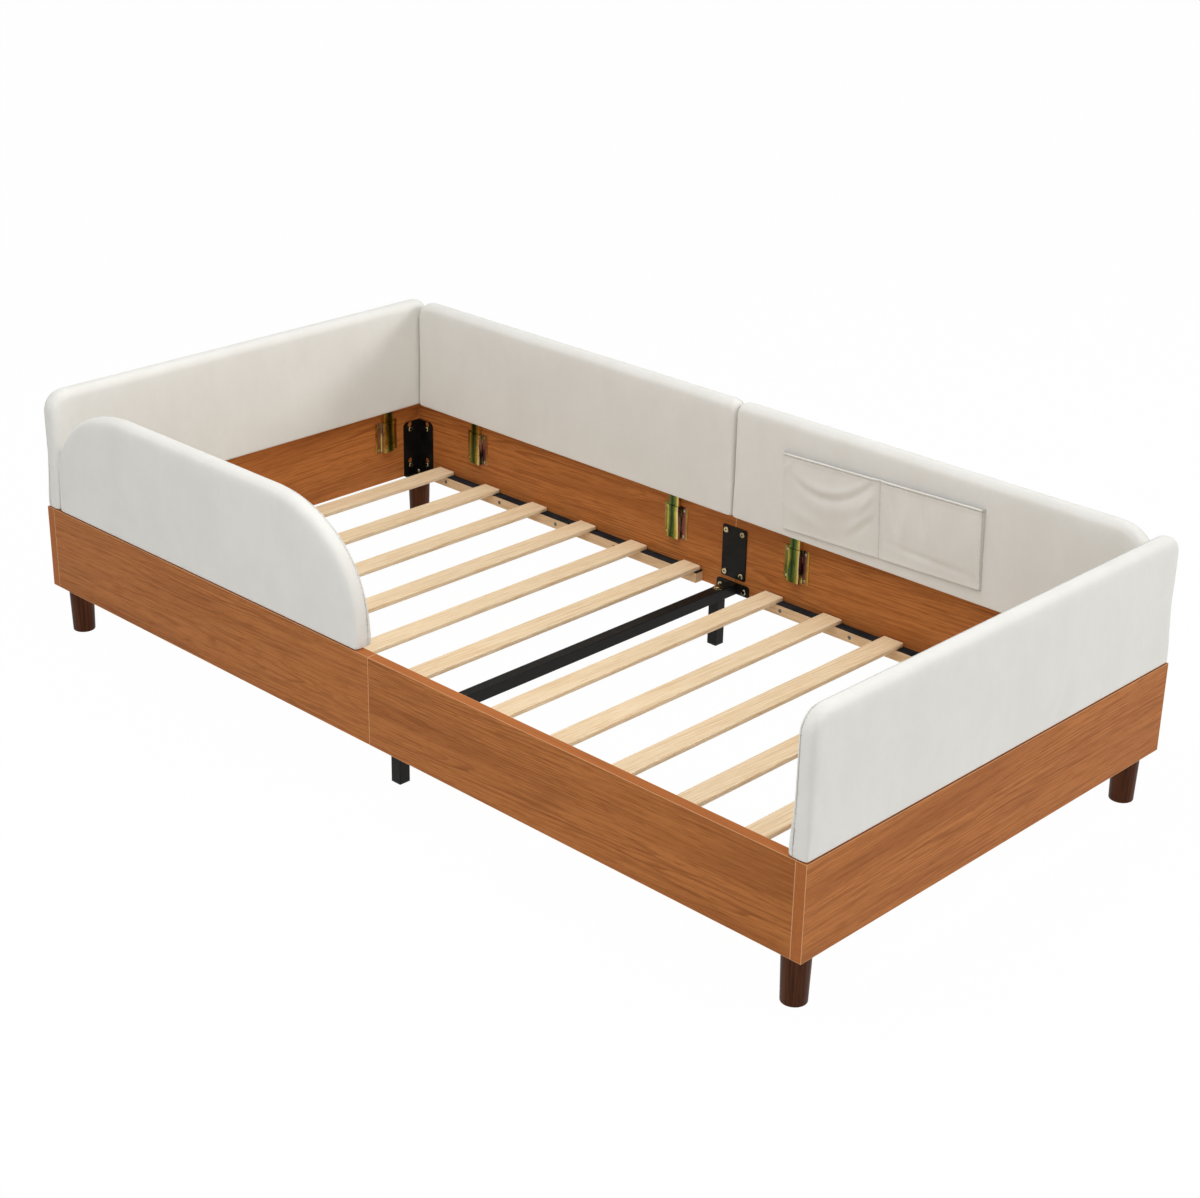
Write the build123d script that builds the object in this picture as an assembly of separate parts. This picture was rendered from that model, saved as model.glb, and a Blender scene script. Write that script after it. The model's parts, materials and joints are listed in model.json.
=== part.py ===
from build123d import *
import os

# Low daybed for a twin mattress. Millimetres, +Z up, +X along the bed towards the foot end.
# The origin is on the floor, under the middle of the bed. The front long side faces -Y.

# Overall sizes
bed_length = 2050.0
bed_width = 1040.0
leg_height = 102.0
board_height = 178.0
board_thickness = 22.0
panel_height = 254.0
panel_thickness = 42.0

# Running gaps
seat_gap = 0.3
panel_end_gap = 1.2
screw_clearance = 0.2
cut_overrun = 2.0

# Upholstered panels
pad_edge_radius = 12.0
pad_foot_extra = 2.0
foam_cover = 13.0
core_thickness = 16.0
end_front_radius = 44.0
end_back_radius = 32.0
outer_back_radius = 72.0
inner_back_radius = 18.0
left_back_radius = 30.0
guard_mid_inset = 32.5
guard_head_gap = 2.5
guard_head_run = 236.0
guard_head_rise = 162.0
guard_sweep_run = 246.0
guard_sweep_rise = 198.0

# Hanger sockets on the boards and the tongues that drop into them
end_hook_inset = 127.0
outer_hook_inset = 186.0
inner_hook_inset = 168.0
socket_height = 74.0
socket_top_drop = 25.0
socket_width = 31.0
socket_depth = 12.0
socket_metal = 1.5
socket_flange = 17.0
socket_screw_inset = 7.5
tongue_width = 25.0
tongue_metal = 2.5
tongue_face_gap = 0.5
tongue_back_gap = 0.8
tongue_anchor_height = 64.0
tongue_grip = 62.0
tongue_taper = 5.0
tongue_screw_inset = 14.0

# Corner brackets and legs
bracket_flange = 50.0
bracket_top_inset = 43.0
bracket_metal = 2.5
bracket_corner_radius = 12.0
bracket_bolt_inset = 31.0
bracket_low_bolt = 26.0
bracket_high_bolt_drop = 18.0
keyhole_radius = 6.8
keyhole_rise = 11.0
leg_inset = 40.0
leg_top_radius = 26.0
leg_foot_radius = 23.0
leg_edge_radius = 1.5
stud_radius = 4.0
stud_depth = 34.0
stud_rise = 14.0
nut_width = 13.0
nut_height = 6.5

# Bolts through the metal parts into the boards
bolt_radius = 3.0
bolt_grip = 17.0
bolt_head_radius = 6.5
bolt_head_height = 3.8
bolt_socket_radius = 2.3
bolt_socket_depth = 2.0

# Joint plates behind the meeting rails
plate_width = 66.0
plate_top_inset = 28.0
plate_flange_gap = 9.0
plate_metal = 3.0
plate_bolt_across = 45.0
plate_bolt_inset = 10.5
plate_corner_radius = 3.0

# Centre beam, its end flanges and the two centre legs
beam_size = 25.0
beam_wall = 1.5
flange_width = 90.0
flange_metal = 3.0
flange_bolt_across = 65.0
flange_bolt_up = 11.0
flange_corner_radius = 8.0
centre_leg_inset = 74.0
cap_height = 4.0
cap_plug_height = 14.0
cap_wall_gap = 0.1
leg_plate = 4.0
post_bolt_radius = 4.0
post_bolt_reach = 12.0
post_head_radius = 7.5
post_head_height = 4.0
post_washer_radius = 11.0
post_washer_metal = 1.2

# Slats, the ledgers under their ends and the grip strips between
slats_a_side = 6
slat_width = 49.5
slat_thickness = 10.0
slat_inner_margin = 3.0
slat_outer_margin = 19.5
slat_end_gap = 4.0
slat_edge_radius = 2.5
ledger_width = 22.0
ledger_height = 22.0
ledger_mid_offset = 88.0
ledger_bracket_gap = 8.0
strip_thickness = 3.0
strip_margin = 1.0
ledger_screws = 5
wood_screw_radius = 2.2
wood_screw_head_radius = 4.4
wood_screw_bite = 14.0
wood_screw_end_share = 0.07
socket_screw_radius = 1.7
socket_screw_head_radius = 3.6
socket_screw_head_height = 1.8
socket_screw_bite = 13.0
tongue_screw_radius = 2.0
tongue_screw_bite = 12.0
tongue_screw_head_radius = 3.8

# Two-compartment pocket on the right back panel
pocket_width = 490.0
pocket_top_inset = 60.0
pocket_left = 140.0
pocket_low = 26.0
pocket_cloth = 2.0
pocket_bulge = 13.0
pocket_seam = 8.0
pocket_hem = 12.0
pocket_height_shares = (0.3, 0.65, 1.0)
pocket_bulge_shares = (0.5, 1.0, 0.9)

# Places worked out from the sizes above
half_length = bed_length / 2
half_width = bed_width / 2
board_low = leg_height
board_top = board_low + board_height
panel_low = board_top + seat_gap
rail_inner = half_width - board_thickness
end_inner = half_length - board_thickness
pad_foot_radius = pad_edge_radius + pad_foot_extra
back_panel_length = half_length - panel_thickness - panel_end_gap - panel_end_gap / 2
guard_length = half_length - panel_thickness - guard_head_gap - guard_mid_inset
socket_top = board_top - socket_top_drop
tongue_face = board_thickness + socket_depth - socket_metal - tongue_face_gap
tongue_depth = socket_depth - socket_metal - tongue_face_gap - tongue_back_gap
tongue_low = socket_top - tongue_grip - panel_low
tongue_screw_heights = (tongue_screw_inset, tongue_anchor_height - tongue_screw_inset)
bracket_height = board_height - bracket_top_inset
bracket_bolt_heights = (bracket_low_bolt, bracket_height - bracket_high_bolt_drop)
plate_low = beam_size + plate_flange_gap
plate_height = board_height - plate_low - plate_top_inset
ledger_outer_offset = end_inner - bracket_flange - ledger_bracket_gap
slat_low = board_low + ledger_height + strip_thickness
pocket_height = panel_height - pocket_low - pocket_top_inset


def block(low, high):
    """A box from its low corner to its high corner."""
    size = [top - bottom for bottom, top in zip(low, high)]
    middle = [(bottom + top) / 2 for bottom, top in zip(low, high)]
    return Pos(*middle) * Box(*size)


def disc(radius, low, high, x=0.0, y=0.0):
    """An upright cylinder between two heights."""
    return Pos(x, y, (low + high) / 2) * Cylinder(radius, high - low)


def save(name, solids):
    """Write one node's solids to its file."""
    pieces = []
    for piece in solids if isinstance(solids, list) else [solids]:
        pieces.extend(piece.solids())
    shape = pieces[0] if len(pieces) == 1 else Compound(children=pieces)
    shape.label = name
    export_step(shape, os.path.join("parts", name + ".step"))


def corner_arc(centre_x, centre_y, size, start):
    """A quarter of a circle, or of an ellipse where the corner is wider than it is high."""
    run, rise = size
    if run == rise:
        return CenterArc((centre_x, centre_y), run, start, 90)
    return EllipticalCenterArc((centre_x, centre_y), run, rise, start_angle=start, arc_size=90)


def rounded_face(width, height, radii):
    """A rectangle from the origin with its own radius at each corner, anticlockwise from low left."""
    corners = [(0, 0), (width, 0), (width, height), (0, height)]
    return make_face(FilletPolyline(*corners, radius=radii, close=True))


def panel_face(width, height, corners):
    """A panel's outline from the origin: each corner's run and rise, anticlockwise from low left."""
    (low_left_run, low_left_rise), (low_right_run, low_right_rise) = corners[:2]
    (top_right_run, top_right_rise), (top_left_run, top_left_rise) = corners[2:]
    edges = [
        Line((low_left_run, 0), (width - low_right_run, 0)),
        corner_arc(width - low_right_run, low_right_rise, corners[1], 270),
        Line((width, low_right_rise), (width, height - top_right_rise)),
        corner_arc(width - top_right_run, height - top_right_rise, corners[2], 0),
        Line((width - top_right_run, height), (top_left_run, height)),
        corner_arc(top_left_run, height - top_left_rise, corners[3], 90),
        Line((0, height - top_left_rise), (0, low_left_rise)),
        corner_arc(low_left_run, low_left_rise, corners[0], 180),
    ]
    return make_face(edges)


# Every panel has a local frame: x runs along it, y is up, z points into the bed.
class Panel:
    """One upholstered panel: where it stands, its outline and where its hooks are."""

    def __init__(self, name, origin, along, inward, width, corners, hooks):
        self.name = name
        self.plane = Plane(origin=origin, x_dir=along, z_dir=inward)
        self.width = width
        self.corners = corners
        self.hooks = hooks

    def outline(self, inset):
        """The front outline, drawn in at the sides and the top by the inset."""
        corners = [[max(size - inset, screw_clearance) for size in corner] for corner in self.corners]
        face = panel_face(self.width - 2 * inset, panel_height - seat_gap - inset, corners)
        return Pos(inset, 0, 0) * face

    def core_blank(self):
        """The inner board before it is drilled, its face against the tongues' backs."""
        depth = tongue_face - tongue_metal - core_thickness
        return extrude(Pos(0, 0, depth) * self.outline(foam_cover), amount=core_thickness)

    def core(self):
        """The inner board that carries the foam and the hooks."""
        board = self.core_blank()
        for hook in self.hooks:
            for height in tongue_screw_heights:
                place = Pos(hook, height, tongue_face - tongue_metal - tongue_screw_bite / 2)
                board -= place * Cylinder(tongue_screw_radius + screw_clearance, tongue_screw_bite)
        return board

    def pad(self):
        """Foam and cover round the inner board, open where the board's foot shows."""
        body = extrude(self.outline(0), amount=panel_thickness)
        smallest = min(min(corner) for corner in self.corners)
        edge_radius = min(pad_edge_radius, smallest - screw_clearance)
        body = fillet(body.faces().filter_by(Axis.Z).edges(), edge_radius)
        body -= self.core_blank()
        for hook in self.hooks:
            body -= tongue_plate(hook, -cut_overrun)
        return body

    def tongues(self):
        """The steel tongues with the screws that hold them to the inner board."""
        solids = []
        for hook in self.hooks:
            plate = tongue_plate(hook, tongue_low) + tongue_cheeks(hook)
            for height in tongue_screw_heights:
                plate -= tongue_screw_hole(hook, height)
                solids.append(tongue_screw(hook, height))
            solids.append(plate)
        return solids


def tongue_plate(hook, low):
    """The flat web of a tongue, from the given height to its top inside the panel."""
    left = hook - tongue_width / 2
    back = tongue_face - tongue_metal
    return block((left, low, back), (left + tongue_width, tongue_anchor_height, tongue_face))


def tongue_cheeks(hook):
    """The two side cheeks that steady a tongue in its socket."""
    cheeks = []
    for side in (-1, 1):
        outer = hook + side * tongue_width / 2
        left, right = sorted((outer, outer - side * tongue_metal))
        low = tongue_low + tongue_taper
        cheeks.append(block((left, low, tongue_face - tongue_depth), (right, -seat_gap, tongue_face)))
    return cheeks


def tongue_screw_hole(hook, height):
    """The countersunk hole of a tongue screw."""
    narrow = tongue_screw_radius + screw_clearance
    wide = tongue_screw_head_radius + screw_clearance
    hole = Cylinder(narrow, tongue_metal + 2 * cut_overrun) + Cone(narrow, wide, tongue_metal)
    return Pos(hook, height, tongue_face - tongue_metal / 2) * hole


def tongue_screw(hook, height):
    """A countersunk screw, flush with the tongue's face."""
    head = Cone(tongue_screw_radius, tongue_screw_head_radius, tongue_metal)
    bite = tongue_screw_bite - screw_clearance
    shank = Pos(0, 0, -(tongue_metal + bite) / 2) * Cylinder(tongue_screw_radius, bite)
    return Pos(hook, height, tongue_face - tongue_metal / 2) * (head + shank)


def make_panels():
    """The five panels, each in its own frame with local z pointing into the bed."""
    inner_length = half_length - panel_thickness
    guard_right = guard_length + guard_head_gap - inner_length
    foot = (pad_foot_radius, pad_foot_radius)
    end_back = (end_back_radius, end_back_radius)
    end_front = (end_front_radius, end_front_radius)
    back_inner = (inner_back_radius, inner_back_radius)
    back_left = (left_back_radius, left_back_radius)
    back_right = (outer_back_radius, outer_back_radius)
    guard_head = (guard_head_run, guard_head_rise)
    guard_sweep = (guard_sweep_run, guard_sweep_rise)
    end_hooks = [end_hook_inset, bed_width - end_hook_inset]
    left_hooks = [outer_hook_inset, back_panel_length - inner_hook_inset]
    right_hooks = [inner_hook_inset, back_panel_length - outer_hook_inset]
    guard_hooks = [outer_hook_inset, guard_length - inner_hook_inset]
    head = Panel("head_panel", (-half_length, -half_width, panel_low), (0, 1, 0), (1, 0, 0),
                 bed_width, [foot, foot, end_back, end_front], end_hooks)
    tail = Panel("foot_panel", (half_length, half_width, panel_low), (0, -1, 0), (-1, 0, 0),
                 bed_width, [foot, foot, end_front, end_back], end_hooks)
    left_start = (panel_end_gap - inner_length, half_width, panel_low)
    left = Panel("back_panel_left", left_start, (1, 0, 0), (0, -1, 0),
                 back_panel_length, [foot, foot, back_inner, back_left], left_hooks)
    right_start = (panel_end_gap / 2, half_width, panel_low)
    right = Panel("back_panel_right", right_start, (1, 0, 0), (0, -1, 0),
                  back_panel_length, [foot, foot, back_right, back_inner], right_hooks)
    guard = Panel("front_guard", (guard_right, -half_width, panel_low), (-1, 0, 0), (0, 1, 0),
                  guard_length, [foot, foot, guard_head, guard_sweep], guard_hooks)
    return [head, tail, left, right, guard]


# Hanger sockets
def socket_solid(hook):
    """A hat-shaped channel on the board under one tongue, in its panel's frame."""
    top = socket_top - panel_low
    low = top - socket_height
    back = board_thickness
    face = back + socket_depth
    half = socket_width / 2
    wide = half + socket_flange
    shell = block((hook - half, low, back), (hook + half, top, face))
    shell -= block((hook - half + socket_metal, low - cut_overrun, back - cut_overrun),
                   (hook + half - socket_metal, top + cut_overrun, face - socket_metal))
    shell += block((hook - wide, low, back), (hook - half + socket_metal, top, back + socket_metal))
    shell += block((hook + half - socket_metal, low, back), (hook + wide, top, back + socket_metal))
    for x, y in socket_screw_places(hook):
        hole = Cylinder(socket_screw_radius + screw_clearance, 2 * cut_overrun + socket_metal)
        shell -= Pos(x, y, back + socket_metal / 2) * hole
    return shell


def socket_screw_places(hook):
    """Where a socket's four screws go, in its panel's frame."""
    top = socket_top - panel_low
    offset = socket_width / 2 + socket_flange / 2
    heights = (top - socket_screw_inset, top - socket_height + socket_screw_inset)
    return [(hook + side * offset, height) for side in (-1, 1) for height in heights]


def socket_screw(x, y):
    """A small round-headed screw through a socket's flange."""
    face = board_thickness + socket_metal
    head = disc(socket_screw_head_radius, face, face + socket_screw_head_height, x, y)
    head = fillet(head.faces().sort_by(Axis.Z)[-1].edges(), socket_screw_head_height / 2)
    return head + disc(socket_screw_radius, face - socket_screw_bite, face, x, y)


def corner_points():
    """The four corners as signs along X and Y, with the end of each part's name."""
    return [(-1, -1, "front_left"), (1, -1, "front_right"), (-1, 1, "back_left"), (1, 1, "back_right")]


# Bolts, shared by the corner brackets, the joint plates and the beam's flanges
def bracket_bolt_seats():
    """Planes on the corner brackets where bolt heads sit, normals into the bed."""
    seats = []
    for side_x, side_y, _ in corner_points():
        for height in bracket_bolt_heights:
            z = board_low + height
            x = side_x * (end_inner - bracket_bolt_inset)
            y = side_y * (rail_inner - bracket_metal)
            seats.append(Plane(origin=(x, y, z), x_dir=(1, 0, 0), z_dir=(0, -side_y, 0)))
            x = side_x * (end_inner - bracket_metal)
            y = side_y * (rail_inner - bracket_bolt_inset)
            seats.append(Plane(origin=(x, y, z), x_dir=(0, 1, 0), z_dir=(-side_x, 0, 0)))
    return seats


def middle_bolt_seats(across, heights, metal):
    """Planes on a mid-length plate where bolt heads sit, front and back."""
    seats = []
    for side_y in (-1, 1):
        for side_x in (-1, 1):
            for z in heights:
                origin = (side_x * across / 2, side_y * (rail_inner - metal), z)
                seats.append(Plane(origin=origin, x_dir=(1, 0, 0), z_dir=(0, -side_y, 0)))
    return seats


def plate_bolt_seats():
    """Bolt seats of the two joint plates."""
    low = board_low + plate_low
    heights = (low + plate_bolt_inset, low + plate_height - plate_bolt_inset)
    return middle_bolt_seats(plate_bolt_across, heights, plate_metal)


def flange_bolt_seats():
    """Bolt seats of the beam's two end flanges."""
    return middle_bolt_seats(flange_bolt_across, [board_low + flange_bolt_up], flange_metal)


def frame_bolt():
    """A low round-headed bolt with a hexagon socket; its head sits on z = 0."""
    head = disc(bolt_head_radius, 0, bolt_head_height)
    head = fillet(head.faces().sort_by(Axis.Z)[-1].edges(), bolt_head_height / 2)
    hexagon = Pos(0, 0, bolt_head_height) * RegularPolygon(bolt_socket_radius, 6)
    recess = extrude(hexagon, amount=-bolt_socket_depth)
    return head + disc(bolt_radius, -bolt_grip, 0) - recess


def bolt_bores(seats):
    """Cutters for the bolts' shanks."""
    bore = disc(bolt_radius + screw_clearance, -bolt_grip - screw_clearance, cut_overrun)
    return [seat * bore for seat in seats]


# Boards
def rail(side_x, side_y, cutters):
    """Half of a long side board, between an end board and the middle."""
    xs = sorted((0.0, side_x * end_inner))
    ys = sorted((side_y * rail_inner, side_y * half_width))
    return block((xs[0], ys[0], board_low), (xs[1], ys[1], board_top)) - cutters


def end_board(side_x, cutters):
    """A full-width board at the head or the foot."""
    xs = sorted((side_x * end_inner, side_x * half_length))
    return block((xs[0], -half_width, board_low), (xs[1], half_width, board_top)) - cutters


def reaching(cutters, low, high):
    """The cutters whose boxes meet the box between two corners."""
    kept = []
    for cutter in cutters:
        box = cutter.bounding_box()
        starts = (box.min.X, box.min.Y, box.min.Z)
        ends = (box.max.X, box.max.Y, box.max.Z)
        if all(start < top and end > bottom for start, end, bottom, top in zip(starts, ends, low, high)):
            kept.append(cutter)
    return kept


# Corner brackets and legs
def bracket_flange_solid():
    """One flange of a corner bracket: x along it from the corner, y up, z out of the board."""
    face = rounded_face(bracket_flange, bracket_height, [0, 0, bracket_corner_radius, 0])
    flange = extrude(face, amount=bracket_metal)
    narrow = bolt_radius + screw_clearance
    depth = bracket_metal + 2 * cut_overrun
    for height in bracket_bolt_heights:
        keyhole = Cylinder(narrow, depth)
        keyhole += Pos(0, keyhole_rise / 2, 0) * Box(2 * narrow, keyhole_rise, depth)
        keyhole += Pos(0, keyhole_rise, 0) * Cylinder(keyhole_radius, depth)
        flange -= Pos(bracket_bolt_inset, height, bracket_metal / 2) * keyhole
    return flange


def corner_bracket(side_x, side_y):
    """An angle bracket with a foot plate that the leg's stud comes up through."""
    flange = bracket_flange_solid()
    along = Plane(origin=(0, 0, 0), x_dir=(1, 0, 0), z_dir=(0, -1, 0)) * flange
    across = along.mirror(Plane(origin=(0, 0, 0), z_dir=(1, 1, 0)))
    foot = block((0, -bracket_flange, 0), (bracket_flange, 0, bracket_metal))
    offset = leg_inset - board_thickness
    foot -= disc(stud_radius + screw_clearance, -cut_overrun, bracket_metal + cut_overrun, offset, -offset)
    body = along + across + foot
    # The bracket is drawn for the head end's back corner and mirrored to the others.
    if side_x > 0:
        body = body.mirror(Plane.YZ)
    if side_y < 0:
        body = body.mirror(Plane.XZ)
    return Pos(side_x * end_inner, side_y * rail_inner, board_low) * body


def wooden_leg():
    """A round tapered leg standing on z = 0, bored for its stud."""
    leg = Pos(0, 0, leg_height / 2) * Cone(leg_foot_radius, leg_top_radius, leg_height)
    leg = fillet(leg.edges().filter_by(GeomType.CIRCLE).sort_by(Axis.Z)[0], leg_edge_radius)
    return leg - disc(stud_radius + screw_clearance, leg_height - stud_depth, leg_height + cut_overrun)


def leg_stud():
    """The stud between a leg and its bracket, with the nut above the bracket's foot plate."""
    seat = leg_height + bracket_metal
    stud = disc(stud_radius, leg_height - stud_depth + screw_clearance, seat + stud_rise)
    nut = extrude(Pos(0, 0, seat) * RegularPolygon(nut_width / 2, 6, major_radius=False), amount=nut_height)
    nut -= disc(stud_radius, seat - cut_overrun, seat + nut_height + cut_overrun)
    return [stud, nut]


# Middle of the bed
def joint_plate(side_y):
    """The flat plate that joins two rails behind their seam."""
    face = rounded_face(plate_width, plate_height, [plate_corner_radius] * 4)
    plane = Plane(origin=(side_y * plate_width / 2, side_y * rail_inner, board_low + plate_low),
                  x_dir=(-side_y, 0, 0), z_dir=(0, side_y, 0))
    return plane * extrude(face, amount=-plate_metal)


def beam_flange(side_y):
    """The ear plate welded to one end of the centre beam."""
    radius = flange_corner_radius
    face = rounded_face(flange_width, beam_size, [0, 0, radius, radius])
    plane = Plane(origin=(side_y * flange_width / 2, side_y * rail_inner, board_low),
                  x_dir=(-side_y, 0, 0), z_dir=(0, side_y, 0))
    return plane * extrude(face, amount=-flange_metal)


def centre_beam():
    """The square tube across the middle, between its two flanges."""
    reach = rail_inner - flange_metal
    half = beam_size / 2
    tube = block((-half, -reach, board_low), (half, reach, board_low + beam_size))
    tube = fillet(tube.edges().filter_by(Axis.Y), beam_wall)
    inner = half - beam_wall
    low = board_low + beam_wall
    tube -= block((-inner, -reach - cut_overrun, low), (inner, reach + cut_overrun, low + 2 * inner))
    for side_y in (-1, 1):
        y = side_y * (half_width - centre_leg_inset)
        top = board_low + beam_size + cut_overrun
        tube -= disc(post_bolt_radius + screw_clearance, board_low - cut_overrun, top, 0, y)
    return tube


def centre_leg(side_y):
    """A square tube leg under the beam, closed at the top by a tapped plate."""
    half = beam_size / 2
    y = side_y * (half_width - centre_leg_inset)
    post = block((-half, y - half, cap_height), (half, y + half, board_low))
    post = fillet(post.edges().filter_by(Axis.Z), beam_wall)
    inner = half - beam_wall
    post -= block((-inner, y - inner, cap_height - cut_overrun), (inner, y + inner, board_low - leg_plate))
    return post - disc(post_bolt_radius, board_low - leg_plate - cut_overrun, board_low + cut_overrun, 0, y)


def leg_cap(side_y):
    """The plastic glide that plugs a centre leg's foot."""
    half = beam_size / 2
    y = side_y * (half_width - centre_leg_inset)
    inner = half - beam_wall - cap_wall_gap
    foot = block((-half, y - half, 0), (half, y + half, cap_height))
    foot = fillet(foot.edges().filter_by(Axis.Z), beam_wall)
    return foot + block((-inner, y - inner, cap_height), (inner, y + inner, cap_height + cap_plug_height))


def post_bolt(side_y):
    """The bolt and washer that clamp a centre leg to the beam."""
    y = side_y * (half_width - centre_leg_inset)
    seat = board_low + beam_size
    washer = disc(post_washer_radius, seat, seat + post_washer_metal, 0, y)
    washer -= disc(post_bolt_radius + screw_clearance, seat - cut_overrun, seat + cut_overrun, 0, y)
    head_low = seat + post_washer_metal
    head = disc(post_head_radius, head_low, head_low + post_head_height, 0, y)
    head = fillet(head.faces().sort_by(Axis.Z)[-1].edges(), post_head_height / 2)
    shank = disc(post_bolt_radius, board_low - post_bolt_reach, head_low, 0, y)
    return [washer, head + shank]


# Slats and what carries them
def ledger_span(side_x):
    """Where a ledger starts and ends along X."""
    return sorted((side_x * ledger_mid_offset, side_x * ledger_outer_offset))


def ledger_screw_xs(side_x):
    """Places of a ledger's screws along X."""
    low, high = ledger_span(side_x)
    end = (high - low) * wood_screw_end_share
    step = (high - low - 2 * end) / (ledger_screws - 1)
    return [low + end + index * step for index in range(ledger_screws)]


def ledger_screw_seats(side_x, side_y):
    """Planes on a ledger's inner face where its screw heads sit, normals into the bed."""
    y = side_y * (rail_inner - ledger_width)
    z = board_low + ledger_height / 2
    return [Plane(origin=(x, y, z), x_dir=(1, 0, 0), z_dir=(0, -side_y, 0)) for x in ledger_screw_xs(side_x)]


def wood_screw(extra):
    """A countersunk wood screw flush with z = 0, or the hole it needs when extra is above zero."""
    sink = wood_screw_head_radius - wood_screw_radius
    head = Pos(0, 0, -sink / 2) * Cone(wood_screw_radius + extra, wood_screw_head_radius + extra, sink)
    return head + disc(wood_screw_radius + extra, -ledger_width - wood_screw_bite - extra, -sink)


def ledger(side_x, side_y, holes):
    """A batten screwed along a rail's foot."""
    low, high = ledger_span(side_x)
    ys = sorted((side_y * rail_inner, side_y * (rail_inner - ledger_width)))
    return block((low, ys[0], board_low), (high, ys[1], board_low + ledger_height)) - holes


def grip_strip(side_x, side_y):
    """The black strip stuck on a ledger's top, under the slats' ends."""
    low, high = ledger_span(side_x)
    ys = sorted((side_y * (rail_inner - strip_margin), side_y * (rail_inner - ledger_width + strip_margin)))
    z = board_low + ledger_height
    return block((low, ys[0], z), (high, ys[1], z + strip_thickness))


def slat_xs():
    """Middles of all the slats along X, from the head end."""
    first = ledger_mid_offset + slat_inner_margin + slat_width / 2
    last = ledger_outer_offset - slat_outer_margin - slat_width / 2
    pitch = (last - first) / (slats_a_side - 1)
    offsets = [first + index * pitch for index in range(slats_a_side)]
    return [-offset for offset in reversed(offsets)] + offsets


def slat(x):
    """One slat with eased edges."""
    reach = rail_inner - slat_end_gap
    half = slat_width / 2
    board = block((x - half, -reach, slat_low), (x + half, reach, slat_low + slat_thickness))
    return fillet(board.edges().filter_by(Axis.Y), slat_edge_radius)


# Pocket
def bulge_face(width, bulge, height):
    """A flat-backed arched section at the given height: x along the panel, z out of it."""
    back = Line((0, height, 0), (width, height, 0))
    arch = ThreePointArc((width, height, 0), (width / 2, height, bulge), (0, height, 0))
    return make_face([back, arch])


def bulge_solid(width, heights, bulges):
    """A pouch-shaped solid lofted through arched sections."""
    return loft([bulge_face(width, bulge, height) for height, bulge in zip(heights, bulges)], ruled=True)


def compartment_front(left):
    """The outside of one compartment: an arched front that lies flatter towards its foot."""
    heights = [0] + [pocket_height * share for share in pocket_height_shares]
    bulges = [pocket_cloth] + [pocket_bulge * share for share in pocket_bulge_shares]
    return Pos(left, 0, 0) * bulge_solid(pocket_width / 2, heights, bulges)


def compartment_hollow(left):
    """The inside of one compartment, open at the top."""
    heights = [pocket_hem] + [pocket_height * share for share in pocket_height_shares]
    bulges = [pocket_cloth / 2] + [pocket_bulge * share - pocket_cloth for share in pocket_bulge_shares]
    return Pos(left + pocket_seam, 0, 0) * bulge_solid(pocket_width / 2 - 2 * pocket_seam, heights, bulges)


def storage_pocket(panel):
    """Two compartments of one cloth, sewn down at the sides, the foot and the divider."""
    pouch = block((0, 0, 0), (pocket_width, pocket_height, pocket_cloth))
    for left in (0, pocket_width / 2):
        pouch += compartment_front(left)
    for left in (0, pocket_width / 2):
        pouch -= compartment_hollow(left)
    return panel.plane * Pos(pocket_left, pocket_low, panel_thickness) * pouch


def save_panels(panels):
    """Write each panel's inner board, pad and hooks."""
    for panel in panels:
        save(panel.name + "_core", panel.plane * panel.core())
        save(panel.name + "_pad", panel.plane * panel.pad())
        save(panel.name + "_hooks", [panel.plane * solid for solid in panel.tongues()])


def save_hangers(panels):
    """Write the sockets on the boards and their screws, and return the screws' bores."""
    sockets = []
    screws = []
    bores = []
    for panel in panels:
        for hook in panel.hooks:
            sockets.append(panel.plane * socket_solid(hook))
            for x, y in socket_screw_places(hook):
                screws.append(panel.plane * socket_screw(x, y))
                radius = socket_screw_radius + screw_clearance
                bore = Cylinder(radius, socket_screw_bite + cut_overrun)
                place = Pos(x, y, board_thickness - (socket_screw_bite - cut_overrun) / 2)
                bores.append(panel.plane * place * bore)
    save("hanger_sockets", sockets)
    save("socket_screws", screws)
    return bores


def save_boards(cutters):
    """Write the four rails and the two end boards."""
    for side_y, side in ((-1, "front"), (1, "back")):
        for side_x, half in ((-1, "left"), (1, "right")):
            xs = sorted((0.0, side_x * end_inner))
            ys = sorted((side_y * rail_inner, side_y * half_width))
            bores = reaching(cutters, (xs[0], ys[0], board_low), (xs[1], ys[1], board_top))
            save(side + "_rail_" + half, rail(side_x, side_y, bores))
    for side_x, name in ((-1, "head_board"), (1, "foot_board")):
        xs = sorted((side_x * end_inner, side_x * half_length))
        bores = reaching(cutters, (xs[0], -half_width, board_low), (xs[1], half_width, board_top))
        save(name, end_board(side_x, bores))


def save_slats():
    """Write the ledgers, their strips and screws, and the slats; return the screws' bores."""
    screws = []
    bores = []
    strips = []
    for side_y, side in ((-1, "front"), (1, "back")):
        for side_x, half in ((-1, "left"), (1, "right")):
            seats = ledger_screw_seats(side_x, side_y)
            holes = [seat * wood_screw(screw_clearance) for seat in seats]
            screws.extend(seat * wood_screw(0.0) for seat in seats)
            bores.extend(holes)
            save("ledger_" + side + "_" + half, ledger(side_x, side_y, holes))
            strips.append(grip_strip(side_x, side_y))
    save("ledger_screws", screws)
    save("grip_strips", strips)
    for index, x in enumerate(slat_xs()):
        save("slat_%02d" % (index + 1), slat(x))
    return bores


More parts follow.
